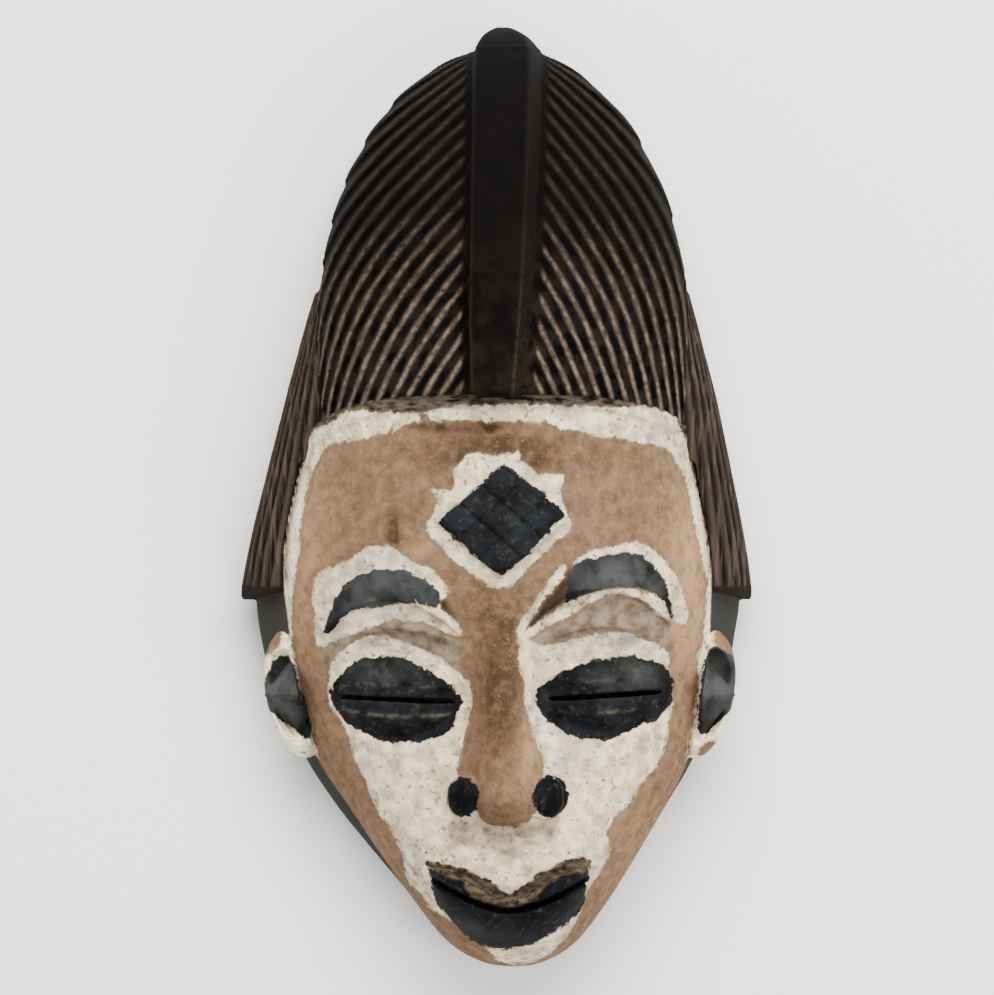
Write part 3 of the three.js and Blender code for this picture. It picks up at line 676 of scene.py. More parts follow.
def rim_distance(block):
    side = np.abs(block.x - RIM_CENTRE(block.y)) - RIM_HALF_WIDTH(block.y)
    slant = (side * RIM_SLANT[0] + (block.z - RIM_EDGE_Z) * RIM_SLANT[1]) / math.hypot(*RIM_SLANT)
    ends = np.maximum(RIM_END_Y - block.y, block.y - RIM_TOP_Y)
    wall = smooth_max(side, slant, RIM_ROUNDING)
    return smooth_max(wall, np.maximum(ends, block.z - RIM_INNER_Z), CRISP)


def hair_scale(y):
    """How far the hair has closed in towards the crown: 1 at its waist and 0 at the crown."""
    rise = np.maximum(0, y - HAIR_WAIST_Y) / (CROWN_Y - HAIR_WAIST_Y)
    return np.sqrt(np.maximum(1e-4, 1 - rise**2))


def hairline_y(x):
    s = np.minimum(np.abs(x - HAIR_CENTRE_X) / HAIR_HALF_WIDTH, 1)
    return HAIRLINE_Y - HAIRLINE_DROP * s**4


def braid_count(x, y):
    """Counts the braids outwards and upwards, with a ridge at each whole number."""
    s = np.minimum(np.abs(x - HAIR_CENTRE_X) / (HAIR_HALF_WIDTH * hair_scale(y)), 1)
    turn = np.arcsin(s)
    rise = (y - HAIRLINE_Y) / BRAID_UNIT
    counts = [
        side["foot"] + side["rise"] * rise + rise**2
        + side["turned"] * turn - side["bow"] * turn**3 - side["cross"] * turn * rise
        for side in BRAIDS
    ]
    count = np.where(x < HAIR_CENTRE_X, *counts)
    return count + BRAID_WAVER * np.sin(WAVER_ALONG * y + WAVER_ACROSS * count)


def flute(count):
    """Round ridges with hollows between: 0 on the ridges and 1 at the bottom."""
    return 0.5 - 0.5 * np.cos(2 * math.pi * count)


def beside_crest(x, y):
    """0 on the plain strip along the crest, and 1 where the braids are."""
    return ramp(np.abs(x - CREST_CENTRE(y)) - CREST_HALF_WIDTH(y) - BRAID_PARTING, 2)


def braid_flute(x, y):
    """The hollows of the braids, which fade out beside the crest, at the sides and towards the crown."""
    s = np.abs(x - HAIR_CENTRE_X) / (HAIR_HALF_WIDTH * hair_scale(y))
    outside = 1 - 0.6 * ramp(s - 0.93, 0.14)
    return flute(braid_count(x, y)) * beside_crest(x, y) * outside * np.minimum(1, 1.5 * hair_scale(y))


def hair_distance(block, sizes):
    x, y, z = block.x, block.y, block.z
    scale = hair_scale(y)
    s = np.abs(x - HAIR_CENTRE_X) / (HAIR_HALF_WIDTH * scale)
    below = np.clip((HAIR_WAIST_Y - y) / (HAIR_WAIST_Y - HAIRLINE_Y), 0, 2)
    top = HAIR_HEIGHT - HAIRLINE_TUCK * below**2
    edge = HAIR_EDGE_Z + HAIRLINE_SWELL * np.minimum(below, 1)
    rise = (z / scale - edge) / (top - edge)
    egg = block.distance(s**FACE_SQUARENESS + np.maximum(rise, 0) ** 2 - 1)
    egg = egg + sizes.braid_depth / MM * braid_flute(x, y)
    return smooth_max(egg, np.maximum(hairline_y(x) - y, y - CROWN_Y), SMOOTHED)


def crest_distance(block, sizes):
    x, y, z = block.x, block.y, block.z
    along = np.maximum(0, y - HAIR_WAIST_Y) / (CREST_TOP_Y - HAIR_WAIST_Y)
    top = HAIR_HEIGHT + sizes.crest_lift / MM - CREST_DIP * np.maximum(0, HAIR_WAIST_Y - y)

    # The arch is the same all the way across, and 0 * x spreads it over the block.
    arch = block.distance(along**2 + (np.maximum(z, 0) / top) ** 2 - 1 + 0 * x)
    left = CREST_CENTRE(y) - x - CREST_HALF_WIDTH(y)
    slant = CREST_SLANT * np.clip(1 + arch / CREST_SLANT_DEPTH, 0, 1)
    right = x - CREST_CENTRE(y) - CREST_HALF_WIDTH(y) + slant
    crest = smooth_max(smooth_max(arch, left, CREST_ROUNDING), right, CREST_ROUNDING)
    return smooth_max(crest, HAIRLINE_Y - 1 - y, CREST_FOOT_ROUNDING)


def tress_section(x, y, z):
    """How far out of a tress's round section a place is, and a count of its ridges across it."""
    outer, front = TRESS_OUTER_X(y), tress_front(y)
    out = np.abs(x - TRESS_CENTRE(y))
    wide, deep = TRESS_POWERS
    u = np.clip((out - TRESS_INNER_X) / (outer - TRESS_INNER_X), 0, None)
    w = np.clip((z - TRESS_BACK_Z - TRESS_STRAIGHT) / (front - TRESS_BACK_Z - TRESS_STRAIGHT), 0, None)
    turn = np.arctan2(w ** (1 / deep), u ** (1 / wide) + 1e-6)
    return u ** (2 / wide) + w ** (2 / deep) - 1, turn / (math.pi / 2) * TRESS_FURROWS


def tress_front(y):
    """The height of a tress's front, which falls back towards its thin upper end."""
    full = np.clip((TRESS_TOP_Y - y) / TRESS_TAPER, TRESS_LEAST_FULL, 1)
    share = TRESS_TOP_SHARE + (1 - TRESS_TOP_SHARE) * full
    return TRESS_BACK_Z + (TRESS_FRONT_Z - TRESS_BACK_Z) * share


def tress_distance(block, sizes):
    x, y, z = block.x, block.y, block.z
    level, count = tress_section(x, y, z)
    tress = block.distance(level) + sizes.furrow_depth / MM * flute(count)
    front = tress_front(y)
    end = TRESS_END_Y - TRESS_END_SLANT * (front - z) / (front - TRESS_BACK_Z) - y
    ends = np.maximum(np.maximum(end, y - TRESS_TOP_Y), TRESS_BACK_Z - z)
    beside_face = -past_face(x, y) - FAR * ramp(y - TRESS_CUT_Y, TRESS_CUT_FADE)
    inner = np.maximum(TRESS_INNER_X - np.abs(x - TRESS_CENTRE(y)), beside_face)
    return smooth_max(smooth_max(tress, ends, CRISP), inner, CRISP)


def ear_distance(block):
    """Both ears: a tilted oval with a bowl in it, and a four-sided boss in the bowl."""
    out = np.abs(block.x - EAR_SHIFT_X) - EAR_CENTRE[0]
    up = block.y - EAR_CENTRE[1]
    across = out * math.cos(EAR_TILT) - up * math.sin(EAR_TILT)
    along = out * math.sin(EAR_TILT) + up * math.cos(EAR_TILT)
    forward = block.z - EAR_CENTRE[2]

    def oval(shift_out, shift_forward):
        offsets = (across - shift_out, along, forward - shift_forward)
        return sum((offset / radius) ** 2 for offset, radius in zip(offsets, EAR_RADII))

    bowl = oval(EAR_BOWL_OUT, EAR_BOWL_FORWARD) / EAR_BOWL**2
    ear = smooth_max(block.distance(oval(0, 0) - 1), -block.distance(bowl - 1), EAR_JOINT)
    out = np.abs(block.x - EAR_SHIFT_X) - BOSS_CENTRE[0]
    boss = np.abs(out) / BOSS_RADII[0] + np.abs(block.y - BOSS_CENTRE[1]) / BOSS_RADII[1]
    boss = boss + np.abs(block.z - BOSS_CENTRE[2]) / BOSS_RADII[2]
    ear = smooth_min(ear, block.distance(boss - 1), CRISP)
    return smooth_max(ear, -past_face(block.x, block.y), CRISP)


def hollow_distance(block, sizes):
    across = np.abs(block.x - HOLLOW_CENTRE[0]) / HOLLOW_RADII[0]
    along = np.abs(block.y - HOLLOW_CENTRE[1]) / HOLLOW_RADII[1]
    deep = np.maximum(block.z, 0) / (sizes.hollow_depth / MM)
    return block.distance(across**FACE_SQUARENESS + along**FACE_SQUARENESS + deep**HOLLOW_DOME - 1)


def slit_distance(block, eye, width):
    share = np.clip(1 - ((block.x - eye["x"]) / SLIT_HALF_LENGTH) ** 2, 0, 1)
    across = np.abs(block.y - slit_y(block.x, eye)) - width / 2 * share**0.25
    return np.maximum(across, np.abs(block.x - eye["x"]) - SLIT_HALF_LENGTH)


def carved_fields(block, sizes):
    """The distance fields of the forms, and of the whole carving."""
    face = block.distance(face_level(block, face_relief(block.x, block.y, sizes)))
    forms = {
        "face": np.maximum(np.maximum(face, chin_distance(block)), block.y - FACE_TOP_Y),
        "rim": rim_distance(block),
        "hair": hair_distance(block, sizes),
        "crest": crest_distance(block, sizes),
        "tresses": tress_distance(block, sizes),
        "ears": ear_distance(block),
        "hollow": hollow_distance(block, sizes),
    }
    whole = smooth_min(forms["face"], forms["rim"], SMOOTHED)
    whole = smooth_min(whole, forms["ears"], EAR_JOINT)
    whole = np.minimum(whole, forms["tresses"])
    whole = smooth_min(whole, smooth_min(forms["hair"], forms["crest"], CREST_JOINT), HAIR_JOINT)
    whole = smooth_max(whole, -forms["hollow"], SMOOTHED)
    for eye in EYES:
        whole = np.maximum(whole, -slit_distance(block, eye, sizes.slit_width / MM))
    forms["whole"] = np.maximum(whole, -block.z)
    return forms


def skin(block, field):
    """Points and four-sided faces of the surface where a field crosses zero."""
    inside = field < 0
    cells = tuple(n - 1 for n in field.shape)
    count = np.zeros(cells, np.int8)
    for offset in np.ndindex(2, 2, 2):
        count += inside[tuple(slice(o, o + n) for o, n in zip(offset, cells))]
    crossed = np.argwhere((count > 0) & (count < 8))
    number = np.full(cells, -1, np.int32)
    number[tuple(crossed.T)] = np.arange(len(crossed))
    total = np.zeros((len(crossed), 3))
    hits = np.zeros(len(crossed))
    for axis in range(3):
        others = [i for i in range(3) if i != axis]
        for offset in np.ndindex(2, 2):
            start = np.zeros(3, int)
            start[others] = offset
            end = start.copy()
            end[axis] = 1
            a = field[tuple((crossed + start).T)]
            b = field[tuple((crossed + end).T)]
            cut = (a < 0) != (b < 0)
            place = np.tile(start.astype(float), (len(crossed), 1))
            place[:, axis] = np.where(cut, a / np.where(cut, a - b, 1), 0)
            total += place * cut[:, None]
            hits += cut
    points = block.low + (crossed + total / hits[:, None]) * block.step
    faces = []
    for axis in range(3):
        u, v = [(axis + i) % 3 for i in (1, 2)]
        before = np.take(inside, range(field.shape[axis] - 1), axis)
        after = np.take(inside, range(1, field.shape[axis]), axis)
        edges = np.argwhere(before != after)
        edges = edges[(edges[:, u] > 0) & (edges[:, v] > 0)]
        leaving = before[tuple(edges.T)]
        step_u, step_v = np.eye(3, dtype=int)[[u, v]]
        ring = [edges - step_u - step_v, edges - step_v, edges, edges - step_u]
        quad = np.stack([number[tuple(corner.T)] for corner in ring], axis=1)
        faces.append(np.where(leaving[:, None], quad, quad[:, ::-1]))
    return points, np.concatenate(faces)


# Mesh


def mesh_object(name, points, faces):
    mesh = bpy.data.meshes.new(name)
    mesh.from_pydata((points * MM).tolist(), [], faces.tolist())
    made = bpy.data.objects.new(name, mesh)
    bpy.context.scene.collection.objects.link(made)
    return made


def add_unevenness(made, sizes, hollow_points):
    """Hand work: slow waves all over, and the facets of a curved adze in the hollow."""
    waves = bpy.data.textures.new("hand_waves", "CLOUDS")
    waves.noise_scale = WAVE_SIZE * MM
    push = made.modifiers.new("hand_waves", "DISPLACE")
    push.texture = waves
    push.strength = sizes.unevenness
    push.mid_level = 0.5
    facets = bpy.data.textures.new("adze_facets", "VORONOI")
    facets.noise_scale = FACET_SIZE * MM
    group = made.vertex_groups.new(name="hollow")
    group.add(hollow_points.tolist(), 1.0, "REPLACE")
    push = made.modifiers.new("adze_facets", "DISPLACE")
    push.texture = facets
    push.strength = -FACET_DEPTH * sizes.unevenness
    push.vertex_group = group.name


def applied(made, triangles):
    """Applies what is on the piece, thins its mesh to a number of triangles and planes its back."""
    thin = made.modifiers.new("thin", "DECIMATE")
    thin.ratio = min(1, triangles / (2 * len(made.data.polygons)))
    thin.use_collapse_triangulate = True
    ready = made.evaluated_get(bpy.context.evaluated_depsgraph_get())
    mesh = bpy.data.meshes.new_from_object(ready)
    mesh.shade_smooth()
    points = positions(mesh)
    points[:, 2] = np.where(points[:, 2] < FLAT_BACK, 0, points[:, 2])
    mesh.vertices.foreach_set("co", (points * MM).ravel())
    made.modifiers.clear()
    made.data = mesh
    made.vertex_groups.clear()


def positions(mesh):
    flat = np.empty(len(mesh.vertices) * 3, np.float32)
    mesh.vertices.foreach_get("co", flat)
    return flat.reshape(-1, 3) / MM


# Paint


def rounded(outline):
    """A closed outline with its corners rounded by a smooth curve through its points."""
    points = np.array(outline, float)
    before, after, beyond = [np.roll(points, shift, axis=0) for shift in (1, -1, -2)]
    rows = []
    for t in np.arange(CORNER_STEPS) / CORNER_STEPS:
        rows.append(
            points
            + 0.5 * t * (after - before)
            + 0.5 * t**2 * (2 * before - 5 * points + 4 * after - beyond)
            + 0.5 * t**3 * (3 * points - before - 3 * after + beyond)
        )
    return np.stack(rows, axis=1).reshape(-1, 2)


def depth_inside(points, outline):
    """How far inside a closed outline each point is, in millimetres, and below 0 outside."""
    depth = np.full(len(points), -float(PAINT_REACH))
    low, high = outline.min(0) - PAINT_REACH, outline.max(0) + PAINT_REACH
    near = np.flatnonzero(((points > low) & (points < high)).all(1))
    px, py = points[near].T
    nearest = np.full(len(near), np.inf)
    inside = np.zeros(len(near), bool)
    for (ax, ay), (bx, by) in zip(outline, np.roll(outline, -1, axis=0)):
        ux, uy = bx - ax, by - ay
        share = np.clip(((px - ax) * ux + (py - ay) * uy) / (ux * ux + uy * uy + 1e-9), 0, 1)
        nearest = np.minimum(nearest, (px - ax - share * ux) ** 2 + (py - ay - share * uy) ** 2)
        if ay != by:
            crossing = ((py < ay) != (py < by)) & (px < ax + (py - ay) * ux / uy)
            inside ^= crossing
    depth[near] = np.sqrt(nearest) * np.where(inside, 1, -1)
    return np.maximum(depth, -PAINT_REACH)


def painted(points, *outlines):
    """How far inside any of several outlines each point is."""
    return np.max([depth_inside(points, rounded(outline)) for outline in outlines], axis=0)


def spot_depth(points, spot):
    """How far inside an oval spot each point is."""
    x, y, across, along = spot
    reach = np.hypot((points[:, 0] - x) / across, (points[:, 1] - y) / along)
    return (1 - reach) * min(across, along)


def soft_spots(x, y, spots):
    """The sum of soft round spots of different sizes and amounts."""
    return sum(
        amount * np.exp(-(((x - at_x) / across) ** 2) - ((y - at_y) / along) ** 2)
        for at_x, at_y, across, along, amount in spots
    )


def lid_edges(x, y, eye):
    """1 on the edges of both lids, where the black is rubbed off and lightened by a painted highlight."""
    s, lines = past_lids(x, y, eye)
    return sum(np.exp(-((line / RUB_AND_HIGHLIGHT_WIDTH) ** 2)) for line in lines) * ramp(0.8 - np.abs(s), 0.3)


def stain_values(form, hair, points):
    """Which stained form each point is on, how deep in a groove it is and how worn it is."""
    x, y, z = points.T
    tress = form["tresses"] < np.minimum(hair, form["rim"])
    rim = form["rim"] < np.minimum(hair, form["tresses"])
    crest = form["crest"] < form["hair"]
    cut_end = y < TRESS_END_Y + CUT_END_HEIGHT

    across = x - CREST_CENTRE(y)
    half = CREST_HALF_WIDTH(y)
    from_edge = np.minimum(across + half, np.abs(across + CREST_SLANT - half))
    deepest = np.where(across > half - CREST_SLANT, CREST_WALL_GROOVE, CREST_TOP_GROOVE)
    crest_groove = np.clip(CREST_EDGE_GROOVE + from_edge / CREST_EDGE_FADE, 0, deepest)
    tress_groove = TRESS_RIDGE_GROOVE + TRESS_FURROW_GROOVE * flute(tress_section(x, y, z)[1])
    tress_groove = np.where(cut_end, CUT_END_GROOVE, tress_groove)
    groove = 1 - (1 - flute(braid_count(x, y))) * beside_crest(x, y)
    groove = np.where(crest, crest_groove, groove)
    groove = np.where(rim, RIM_GROOVE, np.where(tress, tress_groove, groove))

    wear = np.clip(WEAR_AT_HAIRLINE - (y - hairline_y(x)) / WEAR_REACH, WEAR_LEAST, 1)
    wear = np.where(crest, CREST_WEAR * wear, wear)
    wear = np.where(tress, np.where(cut_end, CUT_END_WEAR, TRESS_WEAR), wear)
    return {
        "tress": np.where(tress, 1.0, 0.0),
        "rim": np.where(rim, 1.0, 0.0),
        "groove": groove,
        "wear": np.where(rim, 0, wear),
    }


def paint_values(block, forms, points):
    """What the material needs to know at each point, such as millimetres inside a painted shape."""
    x, y, _ = points.T
    flat = points[:, :2]
    form = {name: block.sample(field, points) for name, field in forms.items()}
    hair = np.minimum(form["hair"], form["crest"])
    dark = np.minimum(np.minimum(hair, form["tresses"]), form["rim"])
    face = np.minimum(form["face"], form["ears"])
    ear = np.minimum(EAR_CLAY_NEAR - form["ears"], form["face"] - EAR_CLAY_OFF_FACE)
    ear = ear - EAR_TAN_DEPTH * soft_spots(x, y, EAR_TAN)
    black = painted(
        flat, BLACK_LEFT_BROW, BLACK_RIGHT_BROW, BLACK_LEFT_EYE, BLACK_RIGHT_EYE, BLACK_LIP,
        BLACK_LEFT_EAR, BLACK_RIGHT_EAR,
    )
    black = np.maximum(black, depth_inside(flat, np.array(BLACK_MARK)))
    for spot in NOSTRIL_SPOTS:
        black = np.maximum(black, spot_depth(flat, spot))
    return {
        **stain_values(form, hair, points),
        "clay": painted(
            flat, CLAY_BORDER, CLAY_ROUND_MARK, CLAY_OVER_LEFT_BROW, CLAY_UNDER_LEFT_BROW,
            CLAY_OVER_RIGHT_BROW, CLAY_UNDER_RIGHT_BROW, CLAY_CHEEKS, CLAY_RIGHT_EDGE,
        ),
        "black": black,
        "umber": painted(flat, UMBER_LEFT_TAIL, UMBER_RIGHT_TAIL, UMBER_SMEAR),
        "ledge": depth_inside(flat, rounded(UMBER_LIP)),
        "lids": painted(flat, GREY_LEFT_LID, GREY_RIGHT_LID),
        # The painted shadow under the nose and on the upper lip.
        "smudge": painted(flat, SHADOW_UNDER_NOSE, SHADE_IN_PHILTRUM),
        "band": y - hairline_y(x) + BAND_PAINT,
        "stain": np.clip(face - dark, -PAINT_REACH, PAINT_REACH),
        "ear": np.clip(ear, -PAINT_REACH, PAINT_REACH),
        "hollow": HOLLOW_BARE - np.abs(form["hollow"]),
        # Painted light: brighter clay on the steep sides.
        "fresh": ramp(np.abs(x) - LIT_SIDES_X, LIT_SIDES_FADE),
        "tone": soft_spots(x, y, OCHRE_TONES),
        # Dust on the black, with a painted sheen on the brows.
        "dusty": soft_spots(x, y, BLACK_DUST_AND_SHEEN),
        # Lid edges: worn, and lightened as a painted highlight.
        "rubbed": np.max([lid_edges(x, y, eye) for eye in EYES], axis=0),
    }


def store(mesh, values):
    for name, numbers in values.items():
        layer = mesh.attributes.new(name, "FLOAT", "POINT")
        layer.data.foreach_set("value", numbers.astype(np.float32))


# Material

# Dried paint and wood refract like this. Chalky clay is rough, and its gloss is nearly nothing.
PAINT_IOR = 1.5
CLAY_ROUGHNESS = 0.86
BLACK_ROUGHNESS = 0.62
DRY_GLOSS = 0.03

# Grain, specks and the thickness of the clay stand out by this many millimetres at the most.
BUMP_HEIGHT = 0.4
BUMP_STRENGTH = 0.5


def linear(hex_colour):
    """An sRGB hex colour as linear red, green, blue and alpha."""
    channels = [int(hex_colour[i : i + 2], 16) / 255 for i in (1, 3, 5)]
    return [c / 12.92 if c <= 0.04045 else ((c + 0.055) / 1.055) ** 2.4 for c in channels] + [1]


def node(tree, kind, inputs=None, **settings):
    """Adds a node with its settings, and sets or links its inputs."""
    made = tree.nodes.new(kind)
    for name, value in settings.items():
        setattr(made, name, value)
    for key, value in (inputs or {}).items():
        if isinstance(value, bpy.types.NodeSocket):
            tree.links.new(value, made.inputs[key])
        else:
            made.inputs[key].default_value = value
    return made


def painted_wood(colours):
    """Light wood with matt clay, ochre and black paint and a dark stain, all worn.

    Clay and ochre scatter light like chalk, with no gloss. The black paint is smoother and keeps a
    little sheen. The stain is nearly black in the grooves, partly as painted shade, and rubbed brown
    on the ridges.
    """
    material = bpy.data.materials.new("Painted and worn light wood")
    material.use_nodes = True
    tree = material.node_tree
    tree.nodes.clear()
    place = node(tree, "ShaderNodeTexCoord").outputs["Object"]

    def noise(size_mm, detail=3.0, stretch=(1, 1, 1)):
        """Cloudy noise by the size of its spots, which can be stretched along the axes."""
        scale = [1 / (size_mm * MM * share) for share in stretch]
        scaled = node(tree, "ShaderNodeMapping", {"Vector": place, "Scale": scale})
        inputs = {"Vector": scaled.outputs[0], "Scale": 1.0, "Detail": detail}
        return node(tree, "ShaderNodeTexNoise", inputs).outputs["Fac"]

    def combined(operation, *terms):
        total = terms[0]
        for term in terms[1:]:
            total = node(tree, "ShaderNodeMath", {0: total, 1: term}, operation=operation).outputs[0]
        return total

    def stepped(value, low, high):
        """0 up to one level of a pattern and 1 past another, with a slope between."""
        inputs = {"Value": value, "From Min": low, "From Max": high}
        return node(tree, "ShaderNodeMapRange", inputs).outputs["Result"]

    def layer(share, below, above):
        return node(tree, "ShaderNodeMix", {0: share, 6: below, 7: above}, data_type="RGBA").outputs[2]

    def known(name):
        return node(tree, "ShaderNodeAttribute", attribute_name=name).outputs["Fac"]

    def some(share, *masks):
        return combined("MULTIPLY", share, *masks)

    def marked(base, *marks):
        """Lays marks on a colour: how strong, on which pattern, between which levels and in what paint."""
        for strength, pattern, low, high, name in marks:
            base = layer(some(strength, stepped(pattern, low, high)), base, paint[name])
        return base

    paint = {name: list(getattr(colours, name)) for name in colours.__annotations__}

    # Patterns by their size in millimetres: patches and blots of wear, flecks and specks where paint has
    # flaked off. Pores, grain lines and brush marks are about 0.2 mm wide on the real mask, too fine to
    # show from the camera, so that specks, grain and strokes are drawn coarser.
    patches = noise(30)
    blots = noise(8)
    mottle = noise(4.5, 5)
    flecks = noise(2.4, 5)
    specks = noise(0.9, 4)
    grain = noise(1.2, 4, (1, 14, 3))
    strokes = noise(1.6, 4, (3, 1, 3))

    # How far the painted edges wander in and out, in millimetres.
    wander = combined("SUBTRACT", combined("ADD", blots, flecks, some(0.4, specks)), 1.2)
    wander = combined("MULTIPLY", wander, 3.0)

    def edge(name, soft=0.4, shift=0.0):
        wandering = combined("ADD", known(name), wander)
        return stepped(wandering, shift - soft, shift + soft)

    # Ochre over wood, paler and deeper in patches, with handling dirt and a haze of clay dust.
    tone = combined("ADD", known("tone"), combined("MULTIPLY", wander, 0.35))
    wood = layer(stepped(tone, 0.0, 1.0), paint["ochre"], paint["ochre_pale"])
    wood = layer(stepped(tone, 0.0, -1.0), wood, paint["ochre_deep"])
    wood = marked(
        wood,
        (0.45, blots, 0.5, 0.66, "ochre_deep"),
        (0.35, mottle, 0.48, 0.74, "umber"),
        (0.2, mottle, 0.48, 0.26, "ochre_pale"),
        (0.2, grain, 0.55, 0.75, "umber"),
        (0.2, specks, 0.6, 0.75, "clay_grey"),
    )

    # White clay: greyed where it is thin, brighter in patches and, as painted light, on the steep
    # sides, and specked with dirt.
    clay = layer(stepped(patches, 0.38, 0.62), paint["clay"], paint["clay_grey"])
    bright = combined("MAXIMUM", some(0.6, stepped(mottle, 0.44, 0.62)), known("fresh"))
    clay = layer(bright, clay, paint["clay_bright"])
    clay = marked(clay, (0.45, noise(6, 5), 0.54, 0.64, "clay_dirt_and_shade"), (0.75, flecks, 0.6, 0.67, "clay_dirt_and_shade"))

    # A thin grey wash on the eyelids, that lets the wood through.
    lids = paint["lid_grey"]
    lids = marked(lids, (0.5, mottle, 0.48, 0.64, "umber"), (0.35, mottle, 0.52, 0.28, "clay_grey"))

    # Black paint with a bluish cast, weathered and dusty in places, with a painted sheen on the brows,
    # and rubbed thin on the lids' edges, where a painted highlight lightens it further.
    black = layer(stepped(blots, 0.4, 0.62), paint["black"], paint["black_blue"])
    black = layer(some(known("dusty"), stepped(blots, 0.2, 0.62)), black, paint["black_dusty"])
    # Wear in flecks, and on the lids' edges also a painted highlight.
    rubbed = some(0.7, known("rubbed"), stepped(blots, 0.4, 0.54))
    rubbed = combined("MAXIMUM", some(0.25, stepped(flecks, 0.56, 0.7)), rubbed)
    black = layer(some(rubbed, stepped(flecks, 0.38, 0.52)), black, paint["black_worn"])

    # The upper lip's ledge: brown wood with worn tan streaks and dark flecks.
    ledge = layer(stepped(strokes, 0.36, 0.6), paint["umber"], paint["ledge_tan"])
    ledge = layer(some(0.8, stepped(flecks, 0.52, 0.66)), ledge, paint["stain"])

    # Dark stain of hair, tresses and rim: near black in grooves, partly as painted shade, and rubbed
    # brown and chipped on ridges.
    groove = known("groove")
    wear = known("wear")
    stain = layer(some(wear, stepped(patches, 0.35, 0.65)), paint["stain"], paint["stain_warm"])
    stain = layer(known("tress"), stain, paint["stain_brown"])
    stain = layer(known("rim"), stain, paint["stain_grey"])
    stain = layer(some(0.9, stepped(groove, 0.35, 0.85)), stain, paint["stain_deep"])
    stain = layer(some(0.6, wear, stepped(blots, 0.44, 0.6)), stain, paint["stain_warm"])
    ragged = combined("ADD", groove, combined("MULTIPLY", combined("SUBTRACT", flecks, 0.5), 0.9))
    ridges = some(stepped(ragged, 0.55, 0.1), wear, stepped(flecks, 0.25, 0.45))
    stain = layer(ridges, stain, paint["stain_worn"])
    streaks = some(known("tress"), stepped(grain, 0.52, 0.62))
    chips = some(stepped(ragged, 0.2, 0.0), stepped(mottle, 0.42, 0.54))
    chips = some(wear, combined("MAXIMUM", some(0.9, chips), some(0.55, streaks)))
    stain = layer(chips, stain, paint["stain_chip"])
    band = layer(stepped(strokes, 0.4, 0.62), paint["band"], paint["stain"])

    # The paints one over another, from the wood up.
    colour = layer(edge("umber", 1.2), wood, paint["umber"])
    colour = layer(edge("band", 0.6), colour, band)
    colour = layer(edge("lids", 0.8), colour, lids)
    colour = layer(some(0.45, edge("clay", 0.9, -0.8)), colour, paint["clay_dirt_and_shade"])
    colour = layer(some(edge("clay"), stepped(flecks, 0.28, 0.36)), colour, clay)
    # A painted shadow under the nose and down the upper lip, in the grey-brown of the dirt.
    colour = layer(some(0.75, edge("smudge", 1.2), stepped(mottle, 0.38, 0.55)), colour, paint["clay_dirt_and_shade"])
    colour = layer(edge("ear", 0.8), colour, clay)
    colour = layer(some(edge("black", 0.3), stepped(specks, 0.18, 0.26)), colour, black)
    colour = layer(edge("ledge"), colour, ledge)
    colour = layer(stepped(known("stain"), -0.3, 0.3), colour, stain)
    colour = layer(stepped(known("hollow"), -0.1, 0.3), colour, paint["bare"])

    inputs = {"Value": edge("black"), "To Min": CLAY_ROUGHNESS, "To Max": BLACK_ROUGHNESS}
    rough = node(tree, "ShaderNodeMapRange", inputs).outputs["Result"]
    height = combined(
        "ADD", some(0.2, grain), some(0.5, specks), some(0.6, mottle), some(0.5, edge("clay"))
    )
    inputs = {"Height": height, "Strength": BUMP_STRENGTH, "Distance": BUMP_HEIGHT * MM}
    bump = node(tree, "ShaderNodeBump", inputs)
    inputs = {
        "Base Color": colour, "Roughness": rough, "IOR": PAINT_IOR, "Normal": bump.outputs[0],
        "Specular IOR Level": DRY_GLOSS,
    }
    shader = node(tree, "ShaderNodeBsdfPrincipled", inputs)
    node(tree, "ShaderNodeOutputMaterial", {"Surface": shader.outputs[0]})
    return material


def plain_material(name, hex_colour, roughness):
    """A finish of one colour that scatters light evenly, as matt paper does."""
    material = bpy.data.materials.new(name)
    material.use_nodes = True
    shader = material.node_tree.nodes["Principled BSDF"]
    shader.inputs["Base Color"].default_value = linear(hex_colour)
    shader.inputs["Roughness"].default_value = roughness
    return material


# Settings, operators and panel

# The margin is in steps, and the skin's thickness in millimetres.
GRID_MARGIN = 3
HOLLOW_SKIN = 1

# Soft square lights and the middle of the view, in metres and watts.
LIGHTS = (
    {"name": "key", "place": (0.1, 1.1, 1.5), "size": 1.4, "power": 84},
    {"name": "fill", "place": (0.9, -0.9, 1.5), "size": 1.4, "power": 30},
)
SKY_COLOUR = "#f5f6f8"
SKY_STRENGTH = 0.9
VIEW_CENTRE = (0.0002, -0.0005, 0.05)
VIEW_LIMIT = 20


def length(name, description, default):
    return bpy.props.FloatProperty(
        name=name, description=description, default=default, min=0, unit="LENGTH", precision=4
    )


def colour(name, description, hex_colour):
    return bpy.props.FloatVectorProperty(
        name=name, description=description, default=linear(hex_colour), size=4, min=0, max=1, subtype="COLOR"
    )


